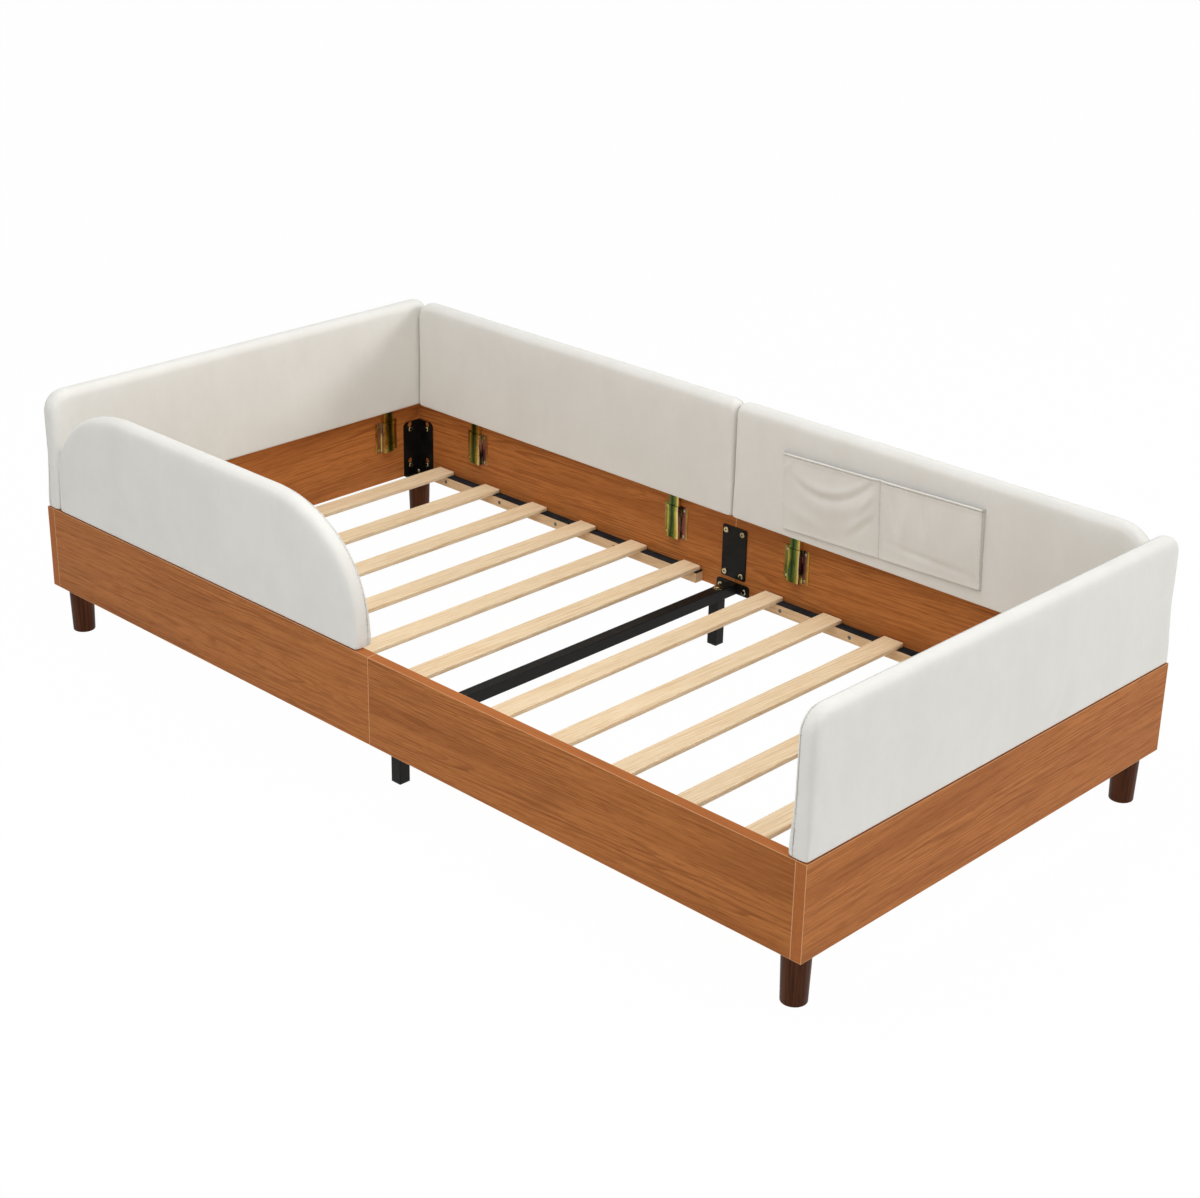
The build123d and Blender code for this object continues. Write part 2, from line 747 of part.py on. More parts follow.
def save_corners():
    """Write the corner brackets, the legs and their studs."""
    studs = []
    for side_x, side_y, name in corner_points():
        x = side_x * (half_length - leg_inset)
        y = side_y * (half_width - leg_inset)
        save("corner_bracket_" + name, corner_bracket(side_x, side_y))
        save("leg_" + name, Pos(x, y, 0) * wooden_leg())
        studs.extend(Pos(x, y, 0) * solid for solid in leg_stud())
    save("leg_studs", studs)


def save_middle():
    """Write the joint plates, the beam, its flanges and the centre legs."""
    save("centre_beam", centre_beam())
    flange_bores = bolt_bores(flange_bolt_seats())
    save("beam_flanges", [beam_flange(side_y) - flange_bores for side_y in (-1, 1)])
    bolts = []
    caps = []
    bores = bolt_bores(plate_bolt_seats())
    for side_y, side in ((-1, "front"), (1, "back")):
        save("joint_plate_" + side, joint_plate(side_y) - bores)
        save("centre_leg_" + side, centre_leg(side_y))
        caps.append(leg_cap(side_y))
        bolts.extend(post_bolt(side_y))
    save("centre_leg_caps", caps)
    save("centre_leg_bolts", bolts)


def main():
    """Write every node."""
    os.makedirs("parts", exist_ok=True)
    panels = make_panels()
    save_panels(panels)
    bores = save_hangers(panels)
    bores += save_slats()
    seats = bracket_bolt_seats() + plate_bolt_seats() + flange_bolt_seats()
    bolt = frame_bolt()
    save("frame_bolts", [seat * bolt for seat in seats])
    save_boards(bores + bolt_bores(seats))
    save_corners()
    save_middle()
    save("storage_pocket", storage_pocket(panels[3]))


main()
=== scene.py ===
"""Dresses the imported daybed: velvet pads, a sewn pocket, laminated boards, pine slats and steel fittings."""

import json
import logging
import math
from collections.abc import Callable, Iterable
from dataclasses import dataclass
from enum import Enum
from functools import cached_property

import bmesh
import bpy
from bmesh.types import BMesh, BMVert
from bpy.types import Material, Node, NodeSocket, NodeTree, Object
from mathutils import Matrix, Vector

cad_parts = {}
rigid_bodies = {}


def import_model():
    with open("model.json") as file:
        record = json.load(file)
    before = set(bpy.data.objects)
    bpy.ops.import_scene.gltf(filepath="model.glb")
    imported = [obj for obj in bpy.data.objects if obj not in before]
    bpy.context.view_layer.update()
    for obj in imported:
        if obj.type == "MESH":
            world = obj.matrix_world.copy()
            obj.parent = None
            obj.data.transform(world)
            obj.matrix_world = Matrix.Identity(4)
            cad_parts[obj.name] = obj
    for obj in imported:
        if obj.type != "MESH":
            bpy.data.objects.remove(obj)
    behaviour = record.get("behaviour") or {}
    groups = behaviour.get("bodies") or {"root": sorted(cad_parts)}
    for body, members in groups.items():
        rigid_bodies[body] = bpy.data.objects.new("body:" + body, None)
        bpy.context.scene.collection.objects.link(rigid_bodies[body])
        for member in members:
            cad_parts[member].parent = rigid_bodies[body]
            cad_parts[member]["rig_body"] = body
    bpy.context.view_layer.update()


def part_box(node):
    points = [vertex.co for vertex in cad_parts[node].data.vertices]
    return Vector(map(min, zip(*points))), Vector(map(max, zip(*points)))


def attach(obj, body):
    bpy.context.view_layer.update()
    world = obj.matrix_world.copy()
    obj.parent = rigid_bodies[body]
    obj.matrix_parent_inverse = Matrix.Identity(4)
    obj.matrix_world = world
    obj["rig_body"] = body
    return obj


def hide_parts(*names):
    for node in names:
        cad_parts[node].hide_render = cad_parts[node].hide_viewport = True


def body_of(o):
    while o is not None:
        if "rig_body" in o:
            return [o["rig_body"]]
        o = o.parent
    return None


LOG = logging.getLogger("daybed")
MM = 0.001
TOUCH = 0.01 * MM
FLAT_DEGREES = 0.5
SHARP_DEGREES = 40.0
SHADED_DEGREES = 35.0
PANELS = ("head_panel", "foot_panel", "back_panel_left", "back_panel_right", "front_guard")
CORNERS = ("front_left", "front_right", "back_left", "back_right")
ORIGIN = Vector((0.0, 0.0, 0.0))
UP = Vector((0.0, 0.0, 1.0))

Colour = tuple[float, float, float]


class Axis(Enum):
    """A direction of the shared frame, as an index into a point."""

    X = 0
    Y = 1
    Z = 2


class Side(Enum):
    """Which end of an axis a face lies on."""

    LOW = -1
    HIGH = 1


# Curves that shapes are eased with


def clamp(value: float, low: float = 0.0, high: float = 1.0) -> float:
    """Keeps a value between two others."""
    return max(low, min(high, value))


def ease(share: float) -> float:
    """Goes from 0 to 1 with a soft start and a soft end."""
    share = clamp(share)
    return share * share * (3 - 2 * share)


def bell(distance: float, reach: float) -> float:
    """Is 1 where the distance is 0, and fades past the reach on both sides."""
    return math.exp(-((distance / reach) ** 2))


# Selecting and shaping, as by hand


def deselect_all() -> None:
    """Leaves nothing selected in object mode."""
    for obj in bpy.context.selected_objects:
        obj.select_set(False)


def activate(obj: Object) -> None:
    """Makes one object the only selected and the active one.

    Args:
        obj: The object to work on.
    """
    deselect_all()
    obj.select_set(True)
    bpy.context.view_layer.objects.active = obj


def select_edges(obj: Object, test: Callable[[Vector, Vector], bool]) -> int:
    """Selects edges by the places of their two ends. The object is in edit mode.

    Args:
        obj: The object in edit mode.
        test: Says whether an edge between two points is wanted.

    Returns:
        How many edges are selected.
    """
    bpy.ops.mesh.select_mode(type="EDGE")
    bpy.ops.mesh.select_all(action="DESELECT")
    mesh = bmesh.from_edit_mesh(obj.data)
    count = 0
    for edge in mesh.edges:
        if test(edge.verts[0].co, edge.verts[1].co):
            edge.select_set(True)
            count += 1
    bmesh.update_edit_mesh(obj.data)
    return count


def on_plane(axis: Axis, place: float, above: float = -math.inf) -> Callable[[Vector, Vector], bool]:
    """Makes a test for edges that lie in a plane square to an axis.

    Args:
        axis: The axis.
        place: Where the plane crosses it.
        above: The height that both ends have to be over.

    Returns:
        The test.
    """
    def test(start: Vector, end: Vector) -> bool:
        """Says whether both ends lie there."""
        return all(abs(point[axis.value] - place) < TOUCH and point.z > above for point in (start, end))

    return test


def islands(mesh: BMesh) -> Iterable[set[BMVert]]:
    """Splits a mesh into its connected parts.

    Args:
        mesh: The mesh.

    Yields:
        The vertices of one part after another.
    """
    left = set(mesh.verts)
    while left:
        part = set()
        rim = {left.pop()}
        while rim:
            part |= rim
            rim = {edge.other_vert(vertex) for vertex in rim for edge in vertex.link_edges} - part
        left -= part
        yield part


def middle_and_size(part: set[BMVert]) -> tuple[Vector, Vector]:
    """Measures the box round a part of a mesh.

    Args:
        part: The part's vertices.

    Returns:
        The box's middle and its size.
    """
    low = Vector([min(vertex.co[index] for vertex in part) for index in range(3)])
    high = Vector([max(vertex.co[index] for vertex in part) for index in range(3)])
    return (low + high) / 2, high - low


def add_block(name: str, low: Vector, high: Vector) -> Object:
    """Adds a cube between two corners, with its place in its mesh.

    Args:
        name: The new object's name.
        low: The lowest corner.
        high: The highest corner.

    Returns:
        The new object.
    """
    deselect_all()
    bpy.ops.mesh.primitive_cube_add(size=1, location=(low + high) / 2, scale=high - low)
    obj = bpy.context.object
    obj.name = name
    bpy.ops.object.transform_apply(location=True, rotation=True, scale=True)
    return obj


def apply_modifier(obj: Object, kind: str, **settings: object) -> None:
    """Adds a modifier with its settings and applies it.

    Args:
        obj: The object to change.
        kind: The modifier's type.
        **settings: Its properties.
    """
    activate(obj)
    modifier = obj.modifiers.new(kind.lower(), kind)
    for key, value in settings.items():
        setattr(modifier, key, value)
    bpy.ops.object.modifier_apply(modifier=modifier.name)


def smooth_by_angle(obj: Object, degrees: float) -> None:
    """Shades an object smooth but for its sharp edges.

    Args:
        obj: The object to shade.
        degrees: The angle past which an edge stays sharp.
    """
    activate(obj)
    bpy.ops.object.shade_smooth_by_angle(angle=math.radians(degrees))


def show(obj: Object, *finishes: Material) -> None:
    """Gives a piece its finishes in place of those that it has.

    Args:
        obj: The piece.
        *finishes: The finishes, in the order of the faces' numbers.
    """
    obj.data.materials.clear()
    for finish in finishes:
        obj.data.materials.append(finish)


def dress(obj: Object, body: str, material: Material) -> None:
    """Gives a new piece its material and its body.

    Args:
        obj: The piece.
        body: The body that it rides on.
        material: The finish to show.
    """
    show(obj, material)
    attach(obj, body)
    LOG.info("%s: %d faces on %s", obj.name, len(obj.data.polygons), body)


def ease_edges(node: str, radius: float, slot: str) -> Object:
    """Copies a node, rounds the copy's sharp edges over and puts it in the node's place.

    Args:
        node: The node's name.
        radius: How far the edges are rounded over.
        slot: The record's material slot; not used.

    Returns:
        The copy.
    """
    source = bpy.data.objects[node]
    obj = bpy.data.objects.new(node + "_eased", source.data.copy())
    bpy.context.scene.collection.objects.link(obj)
    activate(obj)
    bpy.ops.mesh.customdata_custom_splitnormals_clear()
    bpy.ops.object.mode_set(mode="EDIT")
    bpy.ops.mesh.select_all(action="SELECT")
    bpy.ops.mesh.remove_doubles(threshold=TOUCH)
    bpy.ops.mesh.dissolve_limited(angle_limit=math.radians(FLAT_DEGREES))
    bpy.ops.object.mode_set(mode="OBJECT")
    apply_modifier(obj, "BEVEL", width=radius, segments=2, limit_method="ANGLE",
                   angle_limit=math.radians(SHARP_DEGREES), use_clamp_overlap=True)
    smooth_by_angle(obj, SHADED_DEGREES)
    apply_modifier(obj, "WEIGHTED_NORMAL", keep_sharp=True)
    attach(obj, body_of(source)[0])
    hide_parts(node)
    LOG.info("%s: %d faces, edges eased by %.1f mm", obj.name, len(obj.data.polygons), radius / MM)
    return obj


# Node trees


class Sketch:
    """A node tree being drawn, with short calls for the nodes that finishes use most."""

    def __init__(self, tree: NodeTree) -> None:
        """Keeps the tree to draw in."""
        self.tree = tree

    def add(self, kind: str, inputs: dict | None = None, **settings: object) -> Node:
        """Adds a node, sets its properties and fills its inputs.

        Args:
            kind: The node's type.
            inputs: Values or sockets by input name or number.
            **settings: The node's properties.

        Returns:
            The new node.
        """
        node = self.tree.nodes.new(kind)
        for key, value in settings.items():
            setattr(node, key, value)
        for key, value in (inputs or {}).items():
            self.fill(node.inputs[key], value)
        return node

    def fill(self, socket: NodeSocket, value: object) -> None:
        """Links a socket to an input, or sets the input's value.

        Args:
            socket: The input.
            value: A socket or a plain value.
        """
        if isinstance(value, NodeSocket):
            self.tree.links.new(value, socket)
        else:
            socket.default_value = value

    def math(self, operation: str, first: object, second: object = 0.0,
             third: object = 0.0) -> NodeSocket:
        """Adds a Math node.

        Args:
            operation: What it does.
            first: A value or a socket.
            second: A value or a socket.
            third: A value or a socket.

        Returns:
            Its result.
        """
        node = self.add("ShaderNodeMath", {0: first, 1: second, 2: third}, operation=operation)
        return node.outputs[0]

    def spread(self, value: object, low: float, high: float, start: float = 0.0, end: float = 1.0,
               linear: bool = False) -> NodeSocket:
        """Maps a range to another, clamped and unless told otherwise smoothly.

        Args:
            value: The socket to map.
            low: Where the input range starts.
            high: Where it ends.
            start: What the output starts at.
            end: What it ends at.
            linear: Whether it goes in a straight line.

        Returns:
            The mapped value.
        """
        inputs = {"Value": value, "From Min": low, "From Max": high, "To Min": start, "To Max": end}
        kind = "LINEAR" if linear else "SMOOTHSTEP"
        return self.add("ShaderNodeMapRange", inputs, interpolation_type=kind).outputs[0]

    def ramp(self, value: object, stops: Iterable[tuple[float, Colour]]) -> NodeSocket:
        """Looks a colour up in a row of colours.

        Args:
            value: Where to look, from 0 to 1.
            stops: Each colour with its place, in rising order.

        Returns:
            The colour.
        """
        node = self.add("ShaderNodeValToRGB", {0: value})
        elements = node.color_ramp.elements
        for index, (place, colour) in enumerate(stops):
            element = elements[index] if index < 2 else elements.new(place)
            element.position = place
            element.color = (*colour, 1.0)
        return node.outputs[0]

    def mix(self, factor: object, first: object, second: object, blend: str = "MIX") -> NodeSocket:
        """Mixes two colours.

        Args:
            factor: How much of the second.
            first: A colour or a socket.
            second: A colour or a socket.
            blend: The blend type.

        Returns:
            The mixed colour.
        """
        colours = [c if isinstance(c, NodeSocket) else (*c, 1.0) for c in (first, second)]
        node = self.add("ShaderNodeMix", data_type="RGBA", blend_type=blend)
        self.fill(node.inputs[0], factor)
        self.fill(node.inputs[6], colours[0])
        self.fill(node.inputs[7], colours[1])
        return node.outputs[2]

    def noise(self, vector: object, scale: float, detail: float = 2.0, rough: float = 0.5,
              distortion: float = 0.0) -> NodeSocket:
        """Adds a noise texture.

        Args:
            vector: Where to read it.
            scale: Its scale.
            detail: Its octaves.
            rough: How strong the finer octaves are.
            distortion: How far it is warped.

        Returns:
            Its value, about 0.5 on average.
        """
        inputs = {"Vector": vector, "Scale": scale, "Detail": detail, "Roughness": rough,
                  "Distortion": distortion}
        return self.add("ShaderNodeTexNoise", inputs).outputs[0]

    def drawn_out(self, vector: object, scale: tuple[float, float, float], detail: float = 2.0,
                  rough: float = 0.5, distortion: float = 0.0) -> NodeSocket:
        """Adds a noise texture with its own scale along each axis, for grain, strokes and threads.

        Args:
            vector: Where to read it.
            scale: Its scale along each axis.
            detail: Its octaves.
            rough: How strong the finer octaves are.
            distortion: How far it is warped.

        Returns:
            Its value, about 0.5 on average.
        """
        return self.noise(self.place(vector, scale=scale), 1.0, detail, rough, distortion)

    def place(self, vector: object, move: tuple = (0, 0, 0), turn: tuple = (0, 0, 0),
              scale: tuple = (1, 1, 1)) -> NodeSocket:
        """Moves, turns and scales a pattern.

        Args:
            vector: The coordinates.
            move: The shift in metres.
            turn: The turn in degrees.
            scale: The scale of each axis.

        Returns:
            The new coordinates.
        """
        turned = tuple(math.radians(angle) for angle in turn)
        inputs = {"Vector": vector, "Location": move, "Rotation": turned, "Scale": scale}
        return self.add("ShaderNodeMapping", inputs).outputs[0]


class Finish(Sketch):
    """A material being drawn: its coordinates, its shader and its bump."""

    def __init__(self, name: str, **constants: object) -> None:
        """Makes the material, with constants for its shader.

        Args:
            name: The material's name.
            **constants: Values for the shader's inputs, with underscores for spaces.
        """
        self.material = bpy.data.materials.new(name)
        self.material.use_nodes = True
        super().__init__(self.material.node_tree)
        self.tree.nodes.clear()
        self.shader = self.add("ShaderNodeBsdfPrincipled")
        self.add("ShaderNodeOutputMaterial", {"Surface": self.shader.outputs[0]})
        coordinates = self.add("ShaderNodeTexCoord")
        self.object = coordinates.outputs["Object"]
        self.normal = coordinates.outputs["Normal"]
        for key, value in constants.items():
            self.shader.inputs[key.replace("_", " ")].default_value = value

    def level_along(self, along: Axis, vector: NodeSocket) -> NodeSocket:
        """Turns a pattern that runs along X so that it runs along another level axis."""
        return self.place(vector, turn=(0, 0, -90 if along is Axis.Y else 0))

    def surface(self, name: str, value: object) -> None:
        """Feeds one of the shader's inputs."""
        self.fill(self.shader.inputs[name], value)

    def bump(self, height: object, depth: float, strength: float = 1.0,
             under: object = None) -> NodeSocket:
        """Adds relief to the surface.

        Args:
            height: The height over the surface, from 0 to 1.
            depth: What 1 stands for, in metres.
            strength: How much of it shows.
            under: A coarser relief that this one lies on.

        Returns:
            The new normal.
        """
        node = self.add("ShaderNodeBump", {"Height": height, "Distance": depth, "Strength": strength})
        if under is not None:
            self.fill(node.inputs["Normal"], under)
        self.surface("Normal", node.outputs[0])
        return node.outputs[0]


class Effect(Sketch):
    """A shader node group that several finishes share."""

    def __init__(self, name: str, inputs: dict[str, object], outputs: Iterable[str]) -> None:
        """Makes the group with its sockets.

        Args:
            name: The group's name.
            inputs: Each input's name and default: a number, or three numbers for a vector.
            outputs: The names of its outputs, all plain values.
        """
        super().__init__(bpy.data.node_groups.new(name, "ShaderNodeTree"))
        for key, value in inputs.items():
            kind = "NodeSocketVector" if isinstance(value, tuple) else "NodeSocketFloat"
            socket = self.tree.interface.new_socket(key, in_out="INPUT", socket_type=kind)
            socket.default_value = value
        for key in outputs:
            self.tree.interface.new_socket(key, in_out="OUTPUT", socket_type="NodeSocketFloat")
        self.inputs = self.tree.nodes.new("NodeGroupInput").outputs
        self.results = self.tree.nodes.new("NodeGroupOutput").inputs

    def give(self, name: str, value: object) -> None:
        """Feeds one of the group's outputs."""
        self.fill(self.results[name], value)


def use(sketch: Sketch, name: str, **inputs: object) -> bpy.types.bpy_prop_collection:
    """Places a shared effect in a finish.

    Args:
        sketch: The finish.
        name: The effect's name.
        **inputs: Values or sockets by input name.

    Returns:
        The effect's outputs.
    """
    node = sketch.add("ShaderNodeGroup", node_tree=bpy.data.node_groups[name])
    for key, value in inputs.items():
        sketch.fill(node.inputs[key.replace("_", " ")], value)
    return node.outputs


def make_timber_effect() -> None:
    """Draws the grain of flat-sawn wood, running along X: rings, streaks, pores and broad bands."""
    effect = Effect("timber", {"Vector": (0.0, 0.0, 0.0), "Ring Width": 4.0, "Waver": 1.0},
                    ("Rings", "Streaks", "Fibres", "Bands"))
    vector = effect.inputs["Vector"]
    sway = 60
    slow = effect.drawn_out(vector, (1.2, 15, 15), 2, 0.45)
    small = effect.drawn_out(vector, (7, 80, 80), 2, 0.5)
    waver = effect.math("MULTIPLY", effect.math("MULTIPLY_ADD", small, 0.08, slow), effect.inputs["Waver"])
    parts = effect.add("ShaderNodeSeparateXYZ", {0: vector})
    across = effect.math("MULTIPLY", parts.outputs["Z"], 1 / MM)
    depth = effect.math("MULTIPLY", parts.outputs["Y"], 1 / MM)
    far = effect.math("SQRT", effect.math("ADD", effect.math("MULTIPLY", across, across),
                                          effect.math("MULTIPLY", depth, depth)))
    turns = effect.math("DIVIDE", effect.math("MULTIPLY_ADD", waver, sway, far), effect.inputs["Ring Width"])
    saw = effect.math("FRACT", turns)
    late = effect.math("MULTIPLY", effect.spread(saw, 0.50, 0.92), effect.spread(saw, 0.92, 1.0, 1, 0))
    faint = effect.spread(effect.drawn_out(vector, (1.7, 28, 28), 1), 0.35, 0.65, 0.25, 1.0)
    effect.give("Rings", effect.math("MULTIPLY", late, faint))
    effect.give("Streaks", effect.drawn_out(vector, (2.2, 200, 200), 3, 0.62))
    effect.give("Fibres", effect.drawn_out(vector, (10, 640, 640), 2, 0.7))
    effect.give("Bands", effect.drawn_out(vector, (0.9, 14, 14), 1, 0.5))


def make_arris_effect() -> None:
    """Finds the lines along a box's edges, where a painted highlight is drawn on the eased arrises."""
    effect = Effect("arris", {"Vector": (0.0, 0.0, 0.0), "Low": (0.0, 0.0, 0.0), "High": (1.0, 1.0, 1.0),
                              "Line Start": 0.4 * MM, "Line End": 1.0 * MM}, ("Line",))
    above = effect.add("ShaderNodeVectorMath", {0: effect.inputs["Vector"], 1: effect.inputs["Low"]},
                       operation="SUBTRACT")
    below = effect.add("ShaderNodeVectorMath", {0: effect.inputs["High"], 1: effect.inputs["Vector"]},
                       operation="SUBTRACT")
    nearest = effect.add("ShaderNodeVectorMath", {0: above.outputs[0], 1: below.outputs[0]},
                         operation="MINIMUM")
    x, y, z = effect.add("ShaderNodeSeparateXYZ", {0: nearest.outputs[0]}).outputs
    larger = effect.math("MINIMUM", effect.math("MAXIMUM", x, y), z)
    middle = effect.math("MAXIMUM", effect.math("MINIMUM", x, y), larger)
    inputs = {"Value": middle, "From Min": effect.inputs["Line Start"],
              "From Max": effect.inputs["Line End"], "To Min": 1.0, "To Max": 0.0}
    effect.give("Line", effect.add("ShaderNodeMapRange", inputs).outputs[0])


def make_speckle_effect() -> None:
    """Draws the fine uneven skin of powder coat, felt, plastic and plated steel."""
    effect = Effect("speckle", {"Vector": (0.0, 0.0, 0.0), "Grain": 900.0, "Cloud": 25.0},
                    ("Fine", "Cloudy"))
    grain = effect.noise(effect.inputs["Vector"], 1.0, 2, 0.6)
    effect.fill(grain.node.inputs["Scale"], effect.inputs["Grain"])
    cloud = effect.noise(effect.inputs["Vector"], 1.0, 3, 0.55)
    effect.fill(cloud.node.inputs["Scale"], effect.inputs["Cloud"])
    effect.give("Fine", grain)
    effect.give("Cloudy", cloud)


def make_pile_effect() -> None:
    """Draws short velvet pile: strokes where it lies another way, and the weave under it."""
    effect = Effect("pile", {"Vector": (0.0, 0.0, 0.0), "Stroke": 7.0}, ("Strokes", "Nap", "Threads"))
    vector = effect.inputs["Vector"]
    strokes = effect.drawn_out(vector, (1.4, 1.4, 0.8), 5, 0.68, 0.2)
    effect.fill(strokes.node.inputs["Scale"], effect.inputs["Stroke"])
    effect.give("Strokes", strokes)
    effect.give("Nap", effect.noise(vector, 1300, 2, 0.7))
    warp = effect.drawn_out(vector, (420, 420, 40), 2, 0.6)
    weft = effect.drawn_out(vector, (40, 40, 420), 2, 0.6)
    effect.give("Threads", effect.math("MULTIPLY", warp, weft))


# Finishes


@dataclass(frozen=True)
class Print:
    """The stretch of printed grain that one board shows.

    Attributes:
        along: The axis that the grain runs along.
        heart: How high above the board's middle the rings are centred.
        shift: How far the print is slid along the board.
        tone: How much lighter the board is than the others: its own stretch of print, and on the head board
            also painted light against the shade inside the frame.
    """

    along: Axis
    heart: float
    shift: float
    tone: float


@dataclass(frozen=True)
class Laminate:
    """Wood-print laminate on board, with solid bands along its edges.

    The print's rings run round a line that is a little tilted against the board, as in a flat-sawn plank.

    Attributes:
        early: The colour between the rings.
        late: The colour of the rings, streaks and pores.
        dark: The colour of the broad bands.
        band: The colour of the edge banding.
        painted_edge_highlight: The colour of the painted highlight along the board's edges, where print and
            banding meet.
        ring_width: The distance between two rings in millimetres.
        waver: How much the rings waver.
        ring_share: How strongly the rings show.
        band_share: How strongly the broad bands show.
        streak_share: How strongly the streaks show.
        fibre_share: How strongly the pores show.
        edge_highlight_share: How strongly the painted highlight shows.
        heart_depth: How far behind the board's middle the rings are centred.
        tilt: How far their line is tilted, in degrees.
    """

    early: Colour = (0.465, 0.168, 0.044)
    late: Colour = (0.215, 0.062, 0.013)
    dark: Colour = (0.310, 0.098, 0.022)
    band: Colour = (0.42, 0.137, 0.036)
    painted_edge_highlight: Colour = (0.80, 0.48, 0.25)
    ring_width: float = 6.2
    waver: float = 1.2
    ring_share: float = 0.62
    band_share: float = 0.60
    streak_share: float = 0.60
    fibre_share: float = 0.62
    edge_highlight_share: float = 0.55
    heart_depth: float = 0.030
    tilt: float = 1.6

    def build(self, node: str, stretch: Print) -> Material:
        """Draws the finish for one board.

        Args:
            node: The board's node.
            stretch: The grain that it shows.

        Returns:
            The material.
        """
        early, late, dark = [tuple(stretch.tone * part for part in colour)
                             for colour in (self.early, self.late, self.dark)]
        low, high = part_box(node)
        finish = Finish(node + "_laminate", Specular_IOR_Level=0.09)
        centred = finish.place(finish.object, move=tuple(-(low + high) / 2))
        printed = finish.place(finish.level_along(stretch.along, centred),
                               move=(stretch.shift, self.heart_depth, -stretch.heart),
                               turn=(self.tilt, self.tilt, self.tilt))
        grain = use(finish, "timber", Vector=printed, Ring_Width=self.ring_width, Waver=self.waver)
        wood = finish.mix(finish.math("MULTIPLY", grain["Rings"], self.ring_share), early, late)
        wood = finish.mix(finish.spread(grain["Bands"], 0.48, 0.72, 0, self.band_share), wood, dark)
        wood = finish.mix(finish.spread(grain["Streaks"], 0.42, 0.74, 0, self.streak_share), wood, late)
        wood = finish.mix(finish.spread(grain["Fibres"], 0.50, 0.70, 0, self.fibre_share), wood, late)
        edge = use(finish, "arris", Vector=finish.object, Low=tuple(low), High=tuple(high),
                   Line_Start=0.5 * MM, Line_End=1.1 * MM)
        facing = finish.add("ShaderNodeSeparateXYZ", {0: finish.normal}).outputs
        thin = Axis.X if stretch.along is Axis.Y else Axis.Y
        face = finish.spread(finish.math("ABSOLUTE", facing[thin.value]), 0.5, 0.9)
        banding = finish.mix(finish.spread(grain["Streaks"], 0.3, 0.8, 0.0, 0.35), self.band, self.late)
        colour = finish.mix(face, banding, wood)
        # Painted highlight along every edge of the board.
        colour = finish.mix(finish.math("MULTIPLY", edge["Line"], self.edge_highlight_share), colour, self.painted_edge_highlight)
        finish.surface("Base Color", colour)
        finish.surface("Roughness", finish.spread(grain["Fibres"], 0.3, 0.7, 0.40, 0.54))
        finish.bump(grain["Fibres"], 0.08 * MM, 0.35)
        return finish.material


@dataclass(frozen=True)
class BareTimber:
    """Planed wood without a coat, such as pine slats, ledgers and plywood.

    Attributes:
        early: The colour between the rings.
        late: The colour of the rings, streaks and pores.
        ring_width: The distance between two rings in millimetres.
        ring_share: How strongly the rings show.
        roughness: How dull the smoothest spots are.
        along: The axis that the grain runs along.
    """

    early: Colour
    late: Colour
    ring_width: float
    ring_share: float
    roughness: float
    along: Axis

    def build(self, name: str, shift: float) -> Material:
        """Draws the finish.

        Args:
            name: The material's name.
            shift: How far the grain is slid along the piece, so that no two pieces look alike.

        Returns:
            The material.
        """
        finish = Finish(name, Specular_IOR_Level=0.3)
        turned = finish.level_along(self.along, finish.object)
        heart = finish.place(turned, move=(shift, 0.03 + 0.4 * shift, -0.08 - 0.2 * shift),
                             turn=(3, 1.2, 2.1))
        grain = use(finish, "timber", Vector=heart, Ring_Width=self.ring_width, Waver=0.8)
        wood = finish.mix(finish.math("MULTIPLY", grain["Rings"], self.ring_share), self.early, self.late)
        wood = finish.mix(finish.spread(grain["Streaks"], 0.42, 0.76, 0, 0.75), wood, self.late)
        wood = finish.mix(finish.spread(grain["Fibres"], 0.46, 0.68, 0, 0.65), wood, self.late)
        finish.surface("Base Color", wood)
        gloss = finish.spread(grain["Fibres"], 0.3, 0.7, self.roughness, self.roughness + 0.1)
        finish.surface("Roughness", gloss)
        finish.bump(grain["Fibres"], 0.12 * MM, 0.4)
        return finish.material


@dataclass(frozen=True)
class StainedLeg:
    """Dark stained turned wood under a satin lacquer, its grain upright.

    Attributes:
        light: The lighter colour of the stain.
        dark: The colour of its streaks and pores.
    """

    light: Colour = (0.090, 0.027, 0.008)
    dark: Colour = (0.033, 0.009, 0.002)

    def build(self) -> Material:
        """Draws the finish.

        Returns:
            The material.
        """
        finish = Finish("walnut_stain", Specular_IOR_Level=0.10)
        upright = finish.place(finish.object, turn=(0, 90, 0))
        grain = use(finish, "timber", Vector=upright, Ring_Width=4.0, Waver=0.6)
        wood = finish.mix(finish.spread(grain["Streaks"], 0.35, 0.75), self.light, self.dark)
        wood = finish.mix(finish.spread(grain["Fibres"], 0.5, 0.7, 0, 0.5), wood, self.dark)
        finish.surface("Base Color", wood)
        finish.surface("Roughness", finish.spread(grain["Fibres"], 0.3, 0.7, 0.38, 0.5))
        finish.bump(grain["Fibres"], 0.1 * MM, 0.3)
        return finish.material


